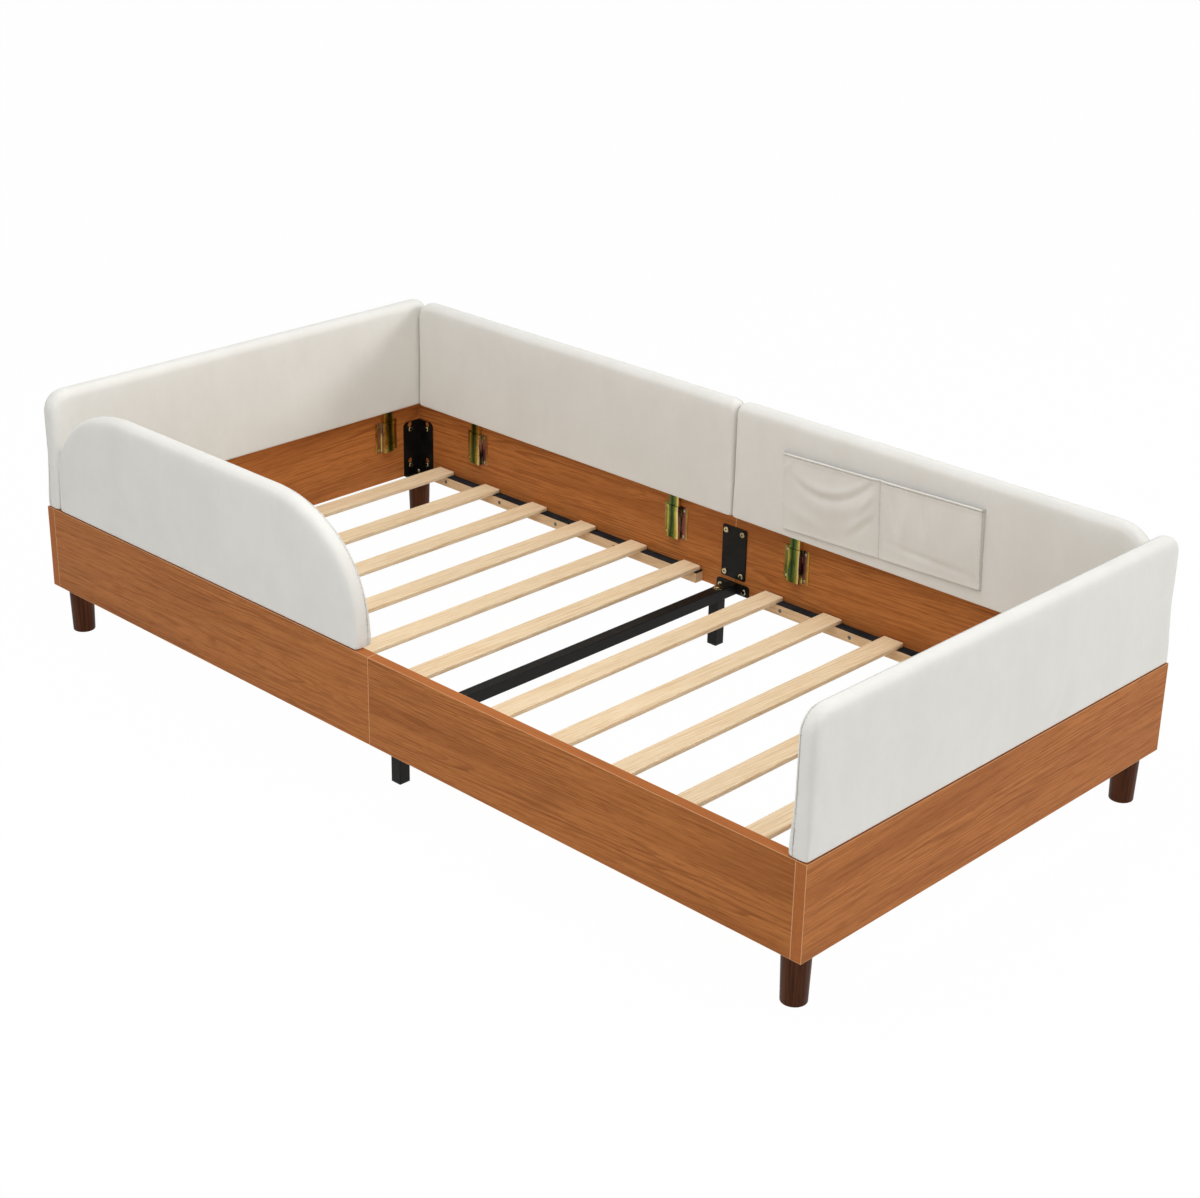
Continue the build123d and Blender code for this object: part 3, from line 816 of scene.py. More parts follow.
@dataclass(frozen=True)
class Skin:
    """A coat whose colour and gloss vary only finely: powder coat, felt, plastic or zinc plate.

    Attributes:
        light: Its lighter colour.
        dark: Its darker colour.
        smooth: How dull the smoothest spots are.
        rough: How dull the roughest ones are.
        metallic: 1 for metal, 0 for anything else.
        grain: The scale of its finest unevenness.
        relief: How deep that is.
    """

    light: Colour
    dark: Colour
    smooth: float
    rough: float
    metallic: float
    grain: float
    relief: float

    def build(self, name: str) -> Material:
        """Draws the finish.

        Args:
            name: The material's name.

        Returns:
            The material.
        """
        finish = Finish(name, Metallic=self.metallic, Specular_IOR_Level=0.13)
        speckle = use(finish, "speckle", Vector=finish.object, Grain=self.grain, Cloud=30)
        colour = finish.mix(finish.spread(speckle["Cloudy"], 0.35, 0.65), self.dark, self.light)
        colour = finish.mix(finish.spread(speckle["Fine"], 0.4, 0.8, 0, 0.5), colour, self.light)
        finish.surface("Base Color", colour)
        finish.surface("Roughness", finish.spread(speckle["Cloudy"], 0.3, 0.7, self.smooth, self.rough))
        finish.bump(speckle["Fine"], self.relief, 0.5)
        return finish.material


@dataclass(frozen=True)
class YellowZinc:
    """Yellow passivated plate: upright bands that go from dark green through gold to violet, with painted
    shade, a painted dark reflection and a painted highlight among them.

    Attributes:
        gold: The colour of the thin bright bands.
        green: The colour of the broad ones.
        dark: The painted shade of the tongue and the hat's wall, and the painted dark reflection in the hat's
            middle.
        violet: The colour of one flange.
        bronze: The colour at the edges.
        painted_highlight: The painted highlight, the brightest line, on the hat's fold.
        half_width: How far the bands reach on each side of the middle, in millimetres.
        drift: How far they wander, in millimetres.
    """

    gold: Colour = (0.62, 0.44, 0.07)
    green: Colour = (0.10, 0.17, 0.04)
    dark: Colour = (0.022, 0.035, 0.016)
    violet: Colour = (0.30, 0.11, 0.13)
    bronze: Colour = (0.34, 0.20, 0.05)
    painted_highlight: Colour = (0.85, 0.78, 0.42)
    half_width: float = 33.0
    drift: float = 16.0

    def build(self, name: str, along: Axis, middle: float, way: int) -> Material:
        """Draws the finish for one hanger.

        Args:
            name: The material's name.
            along: The axis that the hanger is wide along.
            middle: Where its middle is on that axis.
            way: Which way the bands follow each other along the axis, 1 or -1.

        Returns:
            The material.
        """
        finish = Finish(name, Metallic=1.0)
        parts = finish.add("ShaderNodeSeparateXYZ", {0: finish.object}).outputs
        across = finish.math("MULTIPLY", finish.math("SUBTRACT", parts[along.value], middle), way / MM)
        drift = finish.drawn_out(finish.object, (70, 70, 14), 2, 0.5)
        across = finish.math("MULTIPLY_ADD", finish.math("SUBTRACT", drift, 0.5), self.drift, across)
        share = finish.spread(across, -self.half_width, self.half_width, linear=True)
        # The stops hold painted light: dark is painted shade and a painted dark reflection, painted_highlight
        # is a painted highlight.
        stops = (
            (0.00, self.bronze), (0.16, self.green), (0.27, self.gold), (0.33, self.green),
            (0.44, self.dark), (0.55, self.green), (0.64, self.gold), (0.71, self.painted_highlight),
            (0.75, self.dark), (0.80, self.violet), (0.88, self.violet), (0.94, self.bronze),
            (1.0, self.gold),
        )
        finish.surface("Base Color", finish.ramp(share, stops))
        speckle = use(finish, "speckle", Vector=finish.object, Grain=500, Cloud=60)
        finish.surface("Roughness", finish.spread(speckle["Cloudy"], 0.3, 0.7, 0.24, 0.38))
        finish.bump(speckle["Fine"], 0.03 * MM, 0.3)
        return finish.material


@dataclass(frozen=True)
class Velvet:
    """Off-white short-pile velvet, drawn together where it is sewn, with painted shade along its seams and in
    its gathers.

    Attributes:
        light: Its colour where the pile lies one way.
        shade: Its colour where it lies the other way.
        painted_seam_shade: The colour of the painted shade in the depth of a seam.
        seam_shade_share: How much of that shows.
        seam_shade_start: How far from the seam it starts to fade.
        seam_shade_end: How far from the seam it is gone.
        gather_reach: How far the cloth gathers on each side of a seam.
        gather_depth: How deep the gathers are.
        pucker_shade_reach: How far the gathers are given painted shade.
        gather_scale: The scale of the gathers along the seam.
        gather_length_scale: Their scale away from it.
    """

    light: Colour = (0.775, 0.768, 0.728)
    shade: Colour = (0.735, 0.723, 0.680)
    painted_seam_shade: Colour = (0.44, 0.42, 0.37)
    seam_shade_share: float = 0.85
    seam_shade_start: float = 0.4 * MM
    seam_shade_end: float = 1.4 * MM
    gather_reach: float = 11.0 * MM
    gather_depth: float = 1.6 * MM
    pucker_shade_reach: float = 6.0 * MM
    gather_scale: float = 430.0
    gather_length_scale: float = 60.0

    def build(self, name: str, seams: Iterable[tuple[Axis, float]], centre: Vector = ORIGIN,
              tilt: float = 0.0) -> Material:
        """Draws the finish.

        Args:
            name: The material's name.
            seams: The planes that sewn seams lie in, as an axis and a distance along it from the centre.
            centre: What those distances start from.
            tilt: How far the axes are turned about Y, in degrees.

        Returns:
            The material.
        """
        finish = Finish(name, Specular_IOR_Level=0.12, Sheen_Weight=0.25, Sheen_Roughness=0.5)
        pile = use(finish, "pile", Vector=finish.object, Stroke=7.0)
        colour = finish.mix(finish.spread(pile["Strokes"], 0.32, 0.68), self.shade, self.light)
        colour = finish.mix(finish.spread(pile["Threads"], 0.15, 0.45, 0.35, 0), colour, self.shade)
        relief = finish.bump(pile["Strokes"], 0.4 * MM, 0.15)
        turned = finish.place(finish.place(finish.object, move=tuple(-centre)), turn=(0, tilt, 0))
        parts = finish.add("ShaderNodeSeparateXYZ", {0: turned}).outputs
        for axis, place in seams:
            away = finish.math("ABSOLUTE", finish.math("SUBTRACT", parts[axis.value], place))
            scale = [self.gather_scale] * 3
            scale[axis.value] = self.gather_length_scale
            gathers = finish.drawn_out(finish.object, tuple(scale), 1, 0.5)
            near = finish.spread(away, 1.0 * MM, self.gather_reach, 1, 0)
            relief = finish.bump(finish.math("MULTIPLY", gathers, near), self.gather_depth, 0.8, relief)
            # Painted shade in the depth of the seam.
            painted_seam_shade = finish.spread(away, self.seam_shade_start, self.seam_shade_end, self.seam_shade_share, 0)
            colour = finish.mix(painted_seam_shade, colour, self.painted_seam_shade)
            # Painted shade in the gathers beside the seam.
            rim = finish.spread(away, 1.0 * MM, self.pucker_shade_reach, 0.47 * self.seam_shade_share, 0)
            pucker_shade = finish.math("MULTIPLY", finish.spread(gathers, 0.5, 0.66), rim)
            colour = finish.mix(pucker_shade, colour, self.painted_seam_shade)
        finish.surface("Base Color", colour)
        finish.surface("Roughness", finish.spread(pile["Nap"], 0.3, 0.7, 0.86, 0.96))
        relief = finish.bump(pile["Threads"], 0.12 * MM, 0.35, relief)
        finish.bump(pile["Nap"], 0.10 * MM, 0.35, relief)
        return finish.material


# Velvet panels


COVER_CLOTH = {
    "quality": 5, "mass": 0.3, "tension_stiffness": 25, "compression_stiffness": 25, "shear_stiffness": 10,
    "bending_stiffness": 2.0, "use_pressure": True, "uniform_pressure_force": 4,
}


@dataclass
class PaddedPanel:
    """A foam panel in a velvet cover, rounded at its top corners and softly crowned.

    Attributes:
        name: The body and the start of the node's name.
        along: The axis that it runs along.
        low_corner: How far the top corner's curve runs and rises at the low end of that axis.
        high_corner: The same at the high end.
        seam_side: Which face the closing seam lies next to.
        tight: The ends that butt against another panel.
        edge_radius: The roll of the foam along its sides and top.
        foot_radius: The small roll along its foot.
        inset: How far the firm shape stays inside the solid part's faces.
        crest: How much higher its top is.
        swell: How far the cover may stand out from its first shape.
        foot_gap: How far the cover ends above the inner board's foot.
        voxel: The mesh's step before it is swollen.
        seam_inset: How far the seam lies from that face.
        seam_depth: How deep it is drawn in.
        overrun: How far the block reaches below the foot before it is cut.
        tight_slope: How far the roll is squeezed at a tight end: 1 leaves it as it is.
        foot_slope: The same at the foot of a free end.
        end_reach: How far from an end that has an effect.
        face_reach: How far from a face that has an effect.
        firm_height: How high the firm foot reaches.
        swell_height: How high over the foot the cover swells fully.
        corner_steps: How many faces a corner has for each metre of its radius.
        edge_steps: How many faces the roll has across.
        foot_steps: How many faces the small roll has across.
        foot_cuts: How many level cuts the firm foot gets, so that it can bend.
        groove: How far from the seam the cover starts to dip.
        seam_start: How high over the foot the seam starts.
        frames: How many frames the air pressure acts for.
    """

    name: str
    along: Axis
    low_corner: tuple[float, float]
    high_corner: tuple[float, float]
    seam_side: Side
    tight: tuple[Side, ...] = ()
    edge_radius: float = 0.0165
    foot_radius: float = 0.003
    inset: float = 0.0008
    crest: float = 0.0020
    swell: float = 0.0018
    foot_gap: float = 0.0006
    voxel: float = 0.006
    seam_inset: float = 0.0115
    seam_depth: float = 0.0022
    overrun: float = 0.05
    tight_slope: float = 0.20
    foot_slope: float = 0.20
    end_reach: float = 0.060
    face_reach: float = 0.020
    firm_height: float = 0.13
    swell_height: float = 0.07
    corner_steps: int = 260
    edge_steps: int = 6
    foot_steps: int = 3
    foot_cuts: int = 6
    groove: float = 0.0015
    seam_start: float = 0.02
    frames: int = 20

    def build(self) -> Object:
        """Makes the pad and puts it in its node's place.

        Returns:
            The finished pad.
        """
        obj = self.shape()
        self.swell_cover(obj)
        self.stitch(obj)
        activate(obj)
        bpy.ops.object.shade_smooth()
        seams = [(self.across, self.seam_place)]
        dress(obj, self.name, Velvet().build(self.name + "_velvet", seams))
        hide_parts(self.name + "_pad")
        return obj

    @property
    def across(self) -> Axis:
        """The axis of its thickness."""
        return Axis.X if self.along is Axis.Y else Axis.Y

    @cached_property
    def solid_box(self) -> tuple[Vector, Vector]:
        """The lowest and the highest corner of the solid part."""
        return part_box(self.name + "_pad")

    @cached_property
    def seam_place(self) -> float:
        """Where the closing seam lies on the axis of the thickness."""
        edge = self.solid_box[0 if self.seam_side is Side.LOW else 1]
        return edge[self.across.value] - self.seam_side.value * self.seam_inset

    @cached_property
    def foot(self) -> float:
        """The height of the cover's foot."""
        return self.solid_box[0].z + self.foot_gap

    @cached_property
    def corners(self) -> tuple[Vector, Vector]:
        """The lowest and the highest corner of the pad before it swells.

        Returns:
            Both corners.
        """
        low, high = self.solid_box
        inset = Vector((self.inset, self.inset, self.inset))
        return low + inset, high - inset + Vector((0, 0, self.crest))

    def shape(self) -> Object:
        """Models the firm shape: a block with round top corners and a roll along every edge.

        Returns:
            The new object.
        """
        low, high = (corner.copy() for corner in self.corners)
        foot = self.foot
        low.z = foot - self.overrun
        along = self.along.value
        for end, (run, rise), way in ((low, self.low_corner, 1), (high, self.high_corner, -1)):
            end[along] += way * (run - rise)
        obj = add_block(self.name + "_cover", low, high)
        bpy.ops.object.mode_set(mode="EDIT")
        for end, (run, rise), way in ((low, self.low_corner, 1), (high, self.high_corner, -1)):
            select_edges(obj, on_plane(self.along, end[along], foot))
            self.keep_cross_edges(obj)
            bpy.ops.mesh.bevel(offset=rise, segments=max(8, int(rise * self.corner_steps)), affect="EDGES")
            self.widen_corner(obj, end[along], rise, run / rise, way)
        bpy.ops.mesh.select_all(action="SELECT")
        for step in range(self.foot_cuts):
            level = foot + step * self.firm_height / (self.foot_cuts - 1)
            bpy.ops.mesh.bisect(plane_co=(0, 0, level), plane_no=UP)
            bpy.ops.mesh.select_all(action="SELECT")
        self.move_ends(obj, self.stretched)
        for face in (low[self.across.value], high[self.across.value]):
            select_edges(obj, on_plane(self.across, face))
            bpy.ops.mesh.bevel(offset=self.edge_radius, segments=self.edge_steps, affect="EDGES")
        bpy.ops.mesh.select_all(action="SELECT")
        bpy.ops.mesh.bisect(plane_co=(0, 0, foot), plane_no=UP, use_fill=True, clear_inner=True)
        select_edges(obj, on_plane(Axis.Z, foot))
        bpy.ops.mesh.bevel(offset=self.foot_radius, segments=self.foot_steps, affect="EDGES")
        bpy.ops.object.mode_set(mode="OBJECT")
        return obj

    def widen_corner(self, obj: Object, end: float, reach: float, factor: float, way: int) -> None:
        """Stretches a round corner along the panel, into a quarter of an ellipse.

        Args:
            obj: The pad in edit mode.
            end: Where the pad ends on its long axis.
            reach: The round corner's radius.
            factor: How much longer it becomes.
            way: Which way along the axis the pad goes from there, 1 or -1.
        """
        along = self.along.value
        centre = [0.0, 0.0, 0.0]
        centre[along] = end + way * reach
        scale = [1.0, 1.0, 1.0]
        scale[along] = factor
        select_edges(obj, lambda a, b: all((p[along] - centre[along]) * way < TOUCH for p in (a, b)))
        bpy.ops.transform.resize(value=scale, center_override=centre)

    def free_slope(self, z: float) -> float:
        """How far the roll is squeezed at one height where nothing butts against it."""
        return self.foot_slope + (1 - self.foot_slope) * ease((z - self.foot) / self.firm_height)

    def slope_at(self, side: Side, z: float) -> float:
        """How far the roll is squeezed at an end, at one height.

        Args:
            side: The end.
            z: The height.

        Returns:
            The slope: 1 leaves the roll as it is.
        """
        free = self.free_slope(z)
        return min(self.tight_slope, free) if side in self.tight else free

    @staticmethod
    def squeezed(distance: float, slope: float, reach: float) -> float:
        """Moves a place near an end closer to it, and leaves those past the reach.

        Args:
            distance: The place's distance from the end.
            slope: How far it is squeezed right at the end: 1 is not at all.
            reach: How far that has an effect.

        Returns:
            The new distance.
        """
        if distance >= reach:
            return distance
        return distance * (slope + (1 - slope) * max(0.0, distance) / reach)

    @staticmethod
    def stretched(distance: float, slope: float, reach: float) -> float:
        """Undoes what squeezed does.

        Args:
            distance: The squeezed distance from the end.
            slope: How far it was squeezed right at the end.
            reach: How far that had an effect.

        Returns:
            The distance before it was squeezed.
        """
        if distance >= reach or distance <= 0 or slope > 0.999:
            return distance
        bend = (1 - slope) / reach
        return (math.sqrt(slope * slope + 4 * bend * distance) - slope) / (2 * bend)

    def move_ends(self, obj: Object, change: Callable[[float, float, float], float]) -> None:
        """Squeezes or stretches the pad along its length near both ends.

        Args:
            obj: The pad, in edit mode or not.
            change: The function of the distance from the end, the slope and the reach.
        """
        low, high = self.corners
        along = self.along.value
        editing = obj.mode == "EDIT"
        mesh = bmesh.from_edit_mesh(obj.data) if editing else None
        points = [v.co for v in (mesh.verts if editing else obj.data.vertices)]
        for point in points:
            for end, side in ((low[along], Side.LOW), (high[along], Side.HIGH)):
                distance = (end - point[along]) * side.value
                slope = self.slope_at(side, point.z)
                point[along] = end - side.value * change(distance, slope, self.end_reach)
        if editing:
            bmesh.update_edit_mesh(obj.data)

    def firm_foot(self, obj: Object) -> None:
        """Squeezes the rolls near the foot towards both faces, so that the pad ends squarely there.

        Args:
            obj: The pad in object mode.
        """
        low, high = self.corners
        across = self.across.value
        for vertex in obj.data.vertices:
            for end, side in ((low[across], Side.LOW), (high[across], Side.HIGH)):
                distance = (end - vertex.co[across]) * side.value
                distance = self.squeezed(distance, self.free_slope(vertex.co.z), self.face_reach)
                vertex.co[across] = end - side.value * distance

    def keep_cross_edges(self, obj: Object) -> None:
        """Leaves only those selected edges that run through the thickness.

        Args:
            obj: The pad in edit mode.
        """
        mesh = bmesh.from_edit_mesh(obj.data)
        across = self.across.value
        for edge in mesh.edges:
            step = edge.verts[1].co - edge.verts[0].co
            if edge.select and abs(step[across]) < 0.9 * step.length:
                edge.select_set(False)
        bmesh.update_edit_mesh(obj.data)

    def swell_cover(self, obj: Object) -> None:
        """Remeshes the block and lets air pressure fill its cover, as foam does.

        Args:
            obj: The firm shape.
        """
        apply_modifier(obj, "REMESH", mode="VOXEL", voxel_size=self.voxel, use_smooth_shade=True)
        apply_modifier(obj, "SMOOTH", factor=0.5, iterations=3)
        start = [vertex.co.copy() for vertex in obj.data.vertices]
        self.simulate(obj)
        for vertex, old in zip(obj.data.vertices, start):
            step = vertex.co - old
            if step.length > TOUCH:
                limit = self.swell * ease((old.z - self.foot) / self.swell_height)
                vertex.co = old + step.normalized() * limit * math.tanh(step.length / self.swell)
            vertex.co.z = max(vertex.co.z, self.foot)
        self.move_ends(obj, self.squeezed)
        self.firm_foot(obj)
        low, high = self.solid_box
        along = self.along.value
        for vertex in obj.data.vertices:
            vertex.co[along] = clamp(vertex.co[along], low[along], high[along])
        apply_modifier(obj, "SUBSURF", levels=1, render_levels=1)

    def simulate(self, obj: Object) -> None:
        """Runs the cloth for a few frames with its foot held, and applies it.

        Args:
            obj: The remeshed pad.
        """
        held = obj.vertex_groups.new(name="foot")
        held.add([v.index for v in obj.data.vertices if v.co.z < self.foot + 2 * self.voxel], 1.0, "REPLACE")
        activate(obj)
        cloth = obj.modifiers.new("cloth", "CLOTH")
        for key, value in COVER_CLOTH.items():
            setattr(cloth.settings, key, value)
        cloth.settings.vertex_group_mass = held.name
        cloth.settings.effector_weights.gravity = 0
        scene = bpy.context.scene
        for clock in (scene, cloth.point_cache):
            clock.frame_start = 1
            clock.frame_end = self.frames
        for frame in range(1, self.frames + 1):
            scene.frame_set(frame)
        bpy.ops.object.modifier_apply(modifier=cloth.name)
        scene.frame_set(1)
        obj.vertex_groups.clear()

    def stitch(self, obj: Object) -> None:
        """Cuts the closing seam round the sides and the top and draws it in.

        Args:
            obj: The swollen pad.
        """
        across = self.across.value
        activate(obj)
        bpy.ops.object.mode_set(mode="EDIT")
        normal = [0.0, 0.0, 0.0]
        normal[across] = 1.0
        for shift in (-self.groove, 0.0, self.groove):
            place = [0.0, 0.0, 0.0]
            place[across] = self.seam_place + shift
            bpy.ops.mesh.select_all(action="SELECT")
            bpy.ops.mesh.bisect(plane_co=place, plane_no=normal)
        found = select_edges(obj, on_plane(self.across, self.seam_place, self.foot + self.seam_start))
        bpy.ops.transform.shrink_fatten(value=-self.seam_depth)
        bpy.ops.object.mode_set(mode="OBJECT")
        LOG.info("%s: seam of %d edges", obj.name, found)


# The pocket on the right back panel


FOLD_TAIL_SHARE = 0.25


@dataclass(frozen=True)
class Fold:
    """A soft ridge in the cloth, or a valley, along a line between two places.

    Attributes:
        start: Where it starts, as shares of the compartment's width and height.
        end: Where it ends, the same way.
        height: How far it stands out, in millimetres; a valley's is negative.
        width: How far it reaches each side, in millimetres.
    """

    start: tuple[float, float]
    end: tuple[float, float]
    height: float
    width: float

    def at(self, place: Vector, size: Vector) -> float:
        """How much it adds at a place.

        Args:
            place: The place in the compartment, in millimetres from its lower left corner.
            size: The compartment's width and height in millimetres.

        Returns:
            The height in millimetres.
        """
        start = Vector((self.start[0] * size.x, self.start[1] * size.y))
        end = Vector((self.end[0] * size.x, self.end[1] * size.y))
        run = end - start
        share = clamp((place - start).dot(run) / run.length_squared, -FOLD_TAIL_SHARE, 1 + FOLD_TAIL_SHARE)
        away = (place - start - run * share).length
        fade = math.sin(math.pi * (share + FOLD_TAIL_SHARE) / (1 + 2 * FOLD_TAIL_SHARE))
        return self.height * fade * bell(away, self.width)


LEFT_FOLDS = (
    Fold((0.02, 0.78), (0.12, 0.96), 2.0, 7),
    Fold((0.30, 0.86), (0.42, 0.92), -2.0, 15),
    Fold((0.99, 0.86), (0.80, 0.52), 3.2, 9),
    Fold((0.97, 0.62), (0.72, 0.28), 2.6, 10),
    Fold((0.94, 0.48), (0.70, 0.16), -2.0, 9),
    Fold((0.05, 0.30), (0.42, 0.18), 1.6, 15),
)
RIGHT_FOLDS = (
    Fold((0.12, 0.88), (0.17, 0.50), -3.6, 9),
    Fold((0.04, 0.94), (0.08, 0.48), 2.4, 9),
    Fold((0.29, 0.86), (0.24, 0.26), 3.4, 14),
    Fold((0.43, 0.88), (0.45, 0.52), -3.4, 9),
    Fold((0.52, 0.84), (0.60, 0.24), 2.6, 16),
    Fold((0.74, 0.88), (0.70, 0.40), -2.0, 15),
    Fold((0.90, 0.80), (0.92, 0.24), 2.4, 13),
    Fold((0.12, 0.24), (0.86, 0.15), -1.8, 8),
)


# The folds that hang across the left compartment: their height, their level over its sag and their reach
SAG_FOLDS = ((2.6, 12, 11), (-2.2, -3, 9), (1.6, -26, 16))


@dataclass
class StoragePocket:
    """A patch pocket in two compartments, sewn along its sides, its foot and its middle, a little askew.

    Places on it are in millimetres: across from its left side and up from its foot.

    Attributes:
        panel: The finished pad that the pocket is sewn to.
        thickness: How thick the cloth is.
        tilt: How far its right side is turned up, in degrees.
        shift: How far it is moved along the bed and up from its solid part.
        left_stand: How far the left side stands off the panel at the foot and at the mouth.
        right_stand: The same for the right side.
        middle_stand: The same for the sewn middle.
        columns: How many columns of faces a compartment has.
        rows: How many rows.
        turned_in: How much cloth is turned in at each side and rolled up in the hem; not used.
        hem: How high the rolled hem is.
        bead: How far the hem stands out.
        hem_run: How far from a side the hem has its full height.
        hem_groove: How deep the cloth dips under it.
        groove_reach: How far that dip reaches up and down.
        seam_inset: How far the seams lie inside the edges.
        middle_reach: How far from the middle the sewing holds the cloth down.
        middle_dip: How much deeper its two rows of stitches pull it.
        dip_reach: How far from the middle they do.
        dome: How far each compartment bulges.
        calm_foot: How far over the foot the folds have their full height.
        side_turn: How far from a side the cloth curves down to the panel.
        foot_turn: How far over the foot it does.
        stitch: The length of a stitch.
        stitch_width: Its thickness.
        stitch_gap: The room between two stitches.
        row_gap: The room between the middle's two rows of stitches.
        row_end: How far the rows end inside the edges.
        look_from: Where on Y the panel's face is looked for from, in metres.
    """

    panel: Object
    thickness: float = 1.0
    tilt: float = 1.75
    shift: tuple[float, float] = (1.5, -1.5)
    left_stand: tuple[float, float] = (3.2, 8.0)
    right_stand: tuple[float, float] = (3.8, 8.0)
    middle_stand: tuple[float, float] = (1.6, 5.5)
    columns: int = 88
    rows: int = 72
    turned_in: float = 12.0
    hem: float = 4.5
    bead: float = 1.2
    hem_run: float = 3.0
    hem_groove: float = 0.9
    groove_reach: float = 1.1
    seam_inset: float = 1.0
    middle_reach: float = 14.0
    middle_dip: float = 0.8
    dip_reach: float = 1.6
    dome: float = 1.8
    calm_foot: float = 12.0
    side_turn: float = 2.4
    foot_turn: float = 2.6
    stitch: float = 3.0
    stitch_width: float = 0.6
    stitch_gap: float = 1.3
    row_gap: float = 3.2
    row_end: float = 4.0
    look_from: float = 0.3

    @cached_property
    def solid_box(self) -> tuple[Vector, Vector]:
        """The lowest and the highest corner of the pocket's solid part."""
        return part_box("storage_pocket")

    @cached_property
    def width(self) -> float:
        """How wide the pocket is, in millimetres."""
        return (self.solid_box[1].x - self.solid_box[0].x) / MM

    @cached_property
    def height(self) -> float:
        """How high the pocket is, in millimetres."""
        return (self.solid_box[1].z - self.solid_box[0].z) / MM

    @cached_property
    def centre(self) -> Vector:
        """The pocket's middle in the shared frame."""
        low, high = self.solid_box
        return (low + high) / 2 + Vector((self.shift[0], 0, self.shift[1])) * MM

    def build(self) -> None:
        """Makes the cloth and its stitches."""
        cloth = self.make_cloth()
        side = (self.width / 2 - self.seam_inset) * MM
        foot = (self.seam_inset - self.height / 2) * MM
        mouth = (self.height / 2 - self.hem - self.seam_inset) * MM
        lines = [(Axis.X, -side), (Axis.X, 0.0), (Axis.X, side), (Axis.Z, foot), (Axis.Z, mouth)]
        # Painted seam shade along the pocket's sides, middle, foot and hem seam, at a lighter share.
        velvet = Velvet(seam_shade_share=0.45).build("pocket_velvet", lines, self.centre, self.tilt)
        dress(cloth, "back_panel_right", velvet)
        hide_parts("storage_pocket")
        thread = self.make_stitches()
        finish = Skin(light=(0.66, 0.64, 0.60), dark=(0.58, 0.56, 0.51), smooth=0.6, rough=0.7,
                      metallic=0.0, grain=1500, relief=0.05 * MM)
        dress(thread, "back_panel_right", finish.build("thread"))

    def point(self, across: float, rise: float, front: float) -> Vector:
        """A place in the shared frame.

        Args:
            across: The distance from the pocket's left side.
            rise: The height over its foot.
            front: The distance in front of the panel's face.

        Returns:
            The place.
        """
        turn = math.radians(self.tilt)
        u = (across - self.width / 2) * MM
        v = (rise - self.height / 2) * MM
        x = self.centre.x + u * math.cos(turn) - v * math.sin(turn)
        z = self.centre.z + u * math.sin(turn) + v * math.cos(turn)
        found, place, _, _ = self.panel.ray_cast(Vector((x, self.look_from, z)), Vector((0, 1, 0)))
        face = place.y if found else self.centre.y
        return Vector((x, face - front * MM, z))

    def depth(self, across: float, rise: float) -> float:
        """How far the cloth's middle stands off the panel.

        Args:
            across: The distance from the pocket's left side.
            rise: The height over its foot.

        Returns:
            The distance in millimetres.
        """
        share = rise / self.height
        half = self.width / 2
        left = across < half
        inner = abs(across - half)
        outer = half - inner
        low, high = self.left_stand if left else self.right_stand
        stand = low + (high - low) * share
        sewn = 1.0 - bell(inner, self.middle_reach)
        seam = self.middle_stand[0] + (self.middle_stand[1] - self.middle_stand[0]) * share ** 2
        front = seam + (stand - seam) * sewn - self.middle_dip * bell(inner, self.dip_reach)
        front += self.dome * math.sin(math.pi * outer / half) * math.sin(math.pi * min(1.0, share * 1.1))
        place = Vector((across if left else across - half, rise))
        calm = min(1.0, rise / self.calm_foot) * (1 - 0.7 * share ** 6)
        front += self.folds_at(place, left) * sewn * calm
        rounding = self.round_over(outer, self.side_turn) * self.round_over(rise, self.foot_turn)
        return max(0.0, front) * rounding + self.hem_at(self.height - rise) * min(1.0, outer / self.hem_run)

    def hem_at(self, drop: float) -> float:
        """What the rolled hem and the groove under it add to the cloth.

        Args:
            drop: The distance below the mouth.

        Returns:
            The added depth in millimetres.
        """
        groove = self.hem_groove * bell(drop - self.hem - self.seam_inset, self.groove_reach)
        if drop >= self.hem:
            return -groove
        half = self.hem / 2
        return self.bead * math.sqrt(max(0.0, 1 - ((drop - half) / half) ** 2)) - groove

    def folds_at(self, place: Vector, left: bool) -> float:
        """What the folds add to the cloth.

        Args:
            place: The place in the compartment.
            left: Whether it is the left compartment.

        Returns:
            The added depth in millimetres.
        """
        size = Vector((self.width / 2, self.height))
        total = sum(fold.at(place, size) for fold in (LEFT_FOLDS if left else RIGHT_FOLDS))
        if not left:
            return total
        share = place.x / size.x
        away = place.y - (0.58 + 1.4 * (share - 0.43) ** 2) * size.y  # the curve that the cloth sags along
        ends = min(1.0, max(0.0, share - 0.06) / 0.34) * min(1.0, (1 - share) / 0.16)
        return total + ends * sum(height * bell(away - level, reach) for height, level, reach in SAG_FOLDS)

    @staticmethod
    def round_over(distance: float, reach: float) -> float:
        """A quarter ellipse from 0 at a seam to 1 at the reach from it."""
        return math.sqrt(1 - (1 - clamp(distance / reach)) ** 2)

    def make_cloth(self) -> Object:
        """Models the cloth from a grid that is finer along its seams.

        Returns:
            The cloth.
        """
        deselect_all()
        bpy.ops.mesh.primitive_grid_add(x_subdivisions=2 * self.columns, y_subdivisions=self.rows, size=1,
                                        rotation=(math.pi / 2, 0, 0))
        obj = bpy.context.object
        obj.name = "pocket_cloth"
        bpy.ops.object.transform_apply(location=True, rotation=True, scale=True)
        half = self.width / 2
        for vertex in obj.data.vertices:
            share = 2 * (vertex.co.x + 0.5)
            part = share if share <= 1 else share - 1
            across = half * (1 - math.cos(math.pi * part)) / 2 + (0.0 if share <= 1 else half)
            level = vertex.co.z + 0.5
            rise = self.height * (0.30 * level + 0.70 * (1 - math.cos(math.pi * level)) / 2)
            vertex.co = self.point(across, rise, self.depth(across, rise) + self.thickness / 2)
        apply_modifier(obj, "SOLIDIFY", thickness=self.thickness * MM, offset=0.0)
        bpy.ops.object.shade_smooth()
        return obj

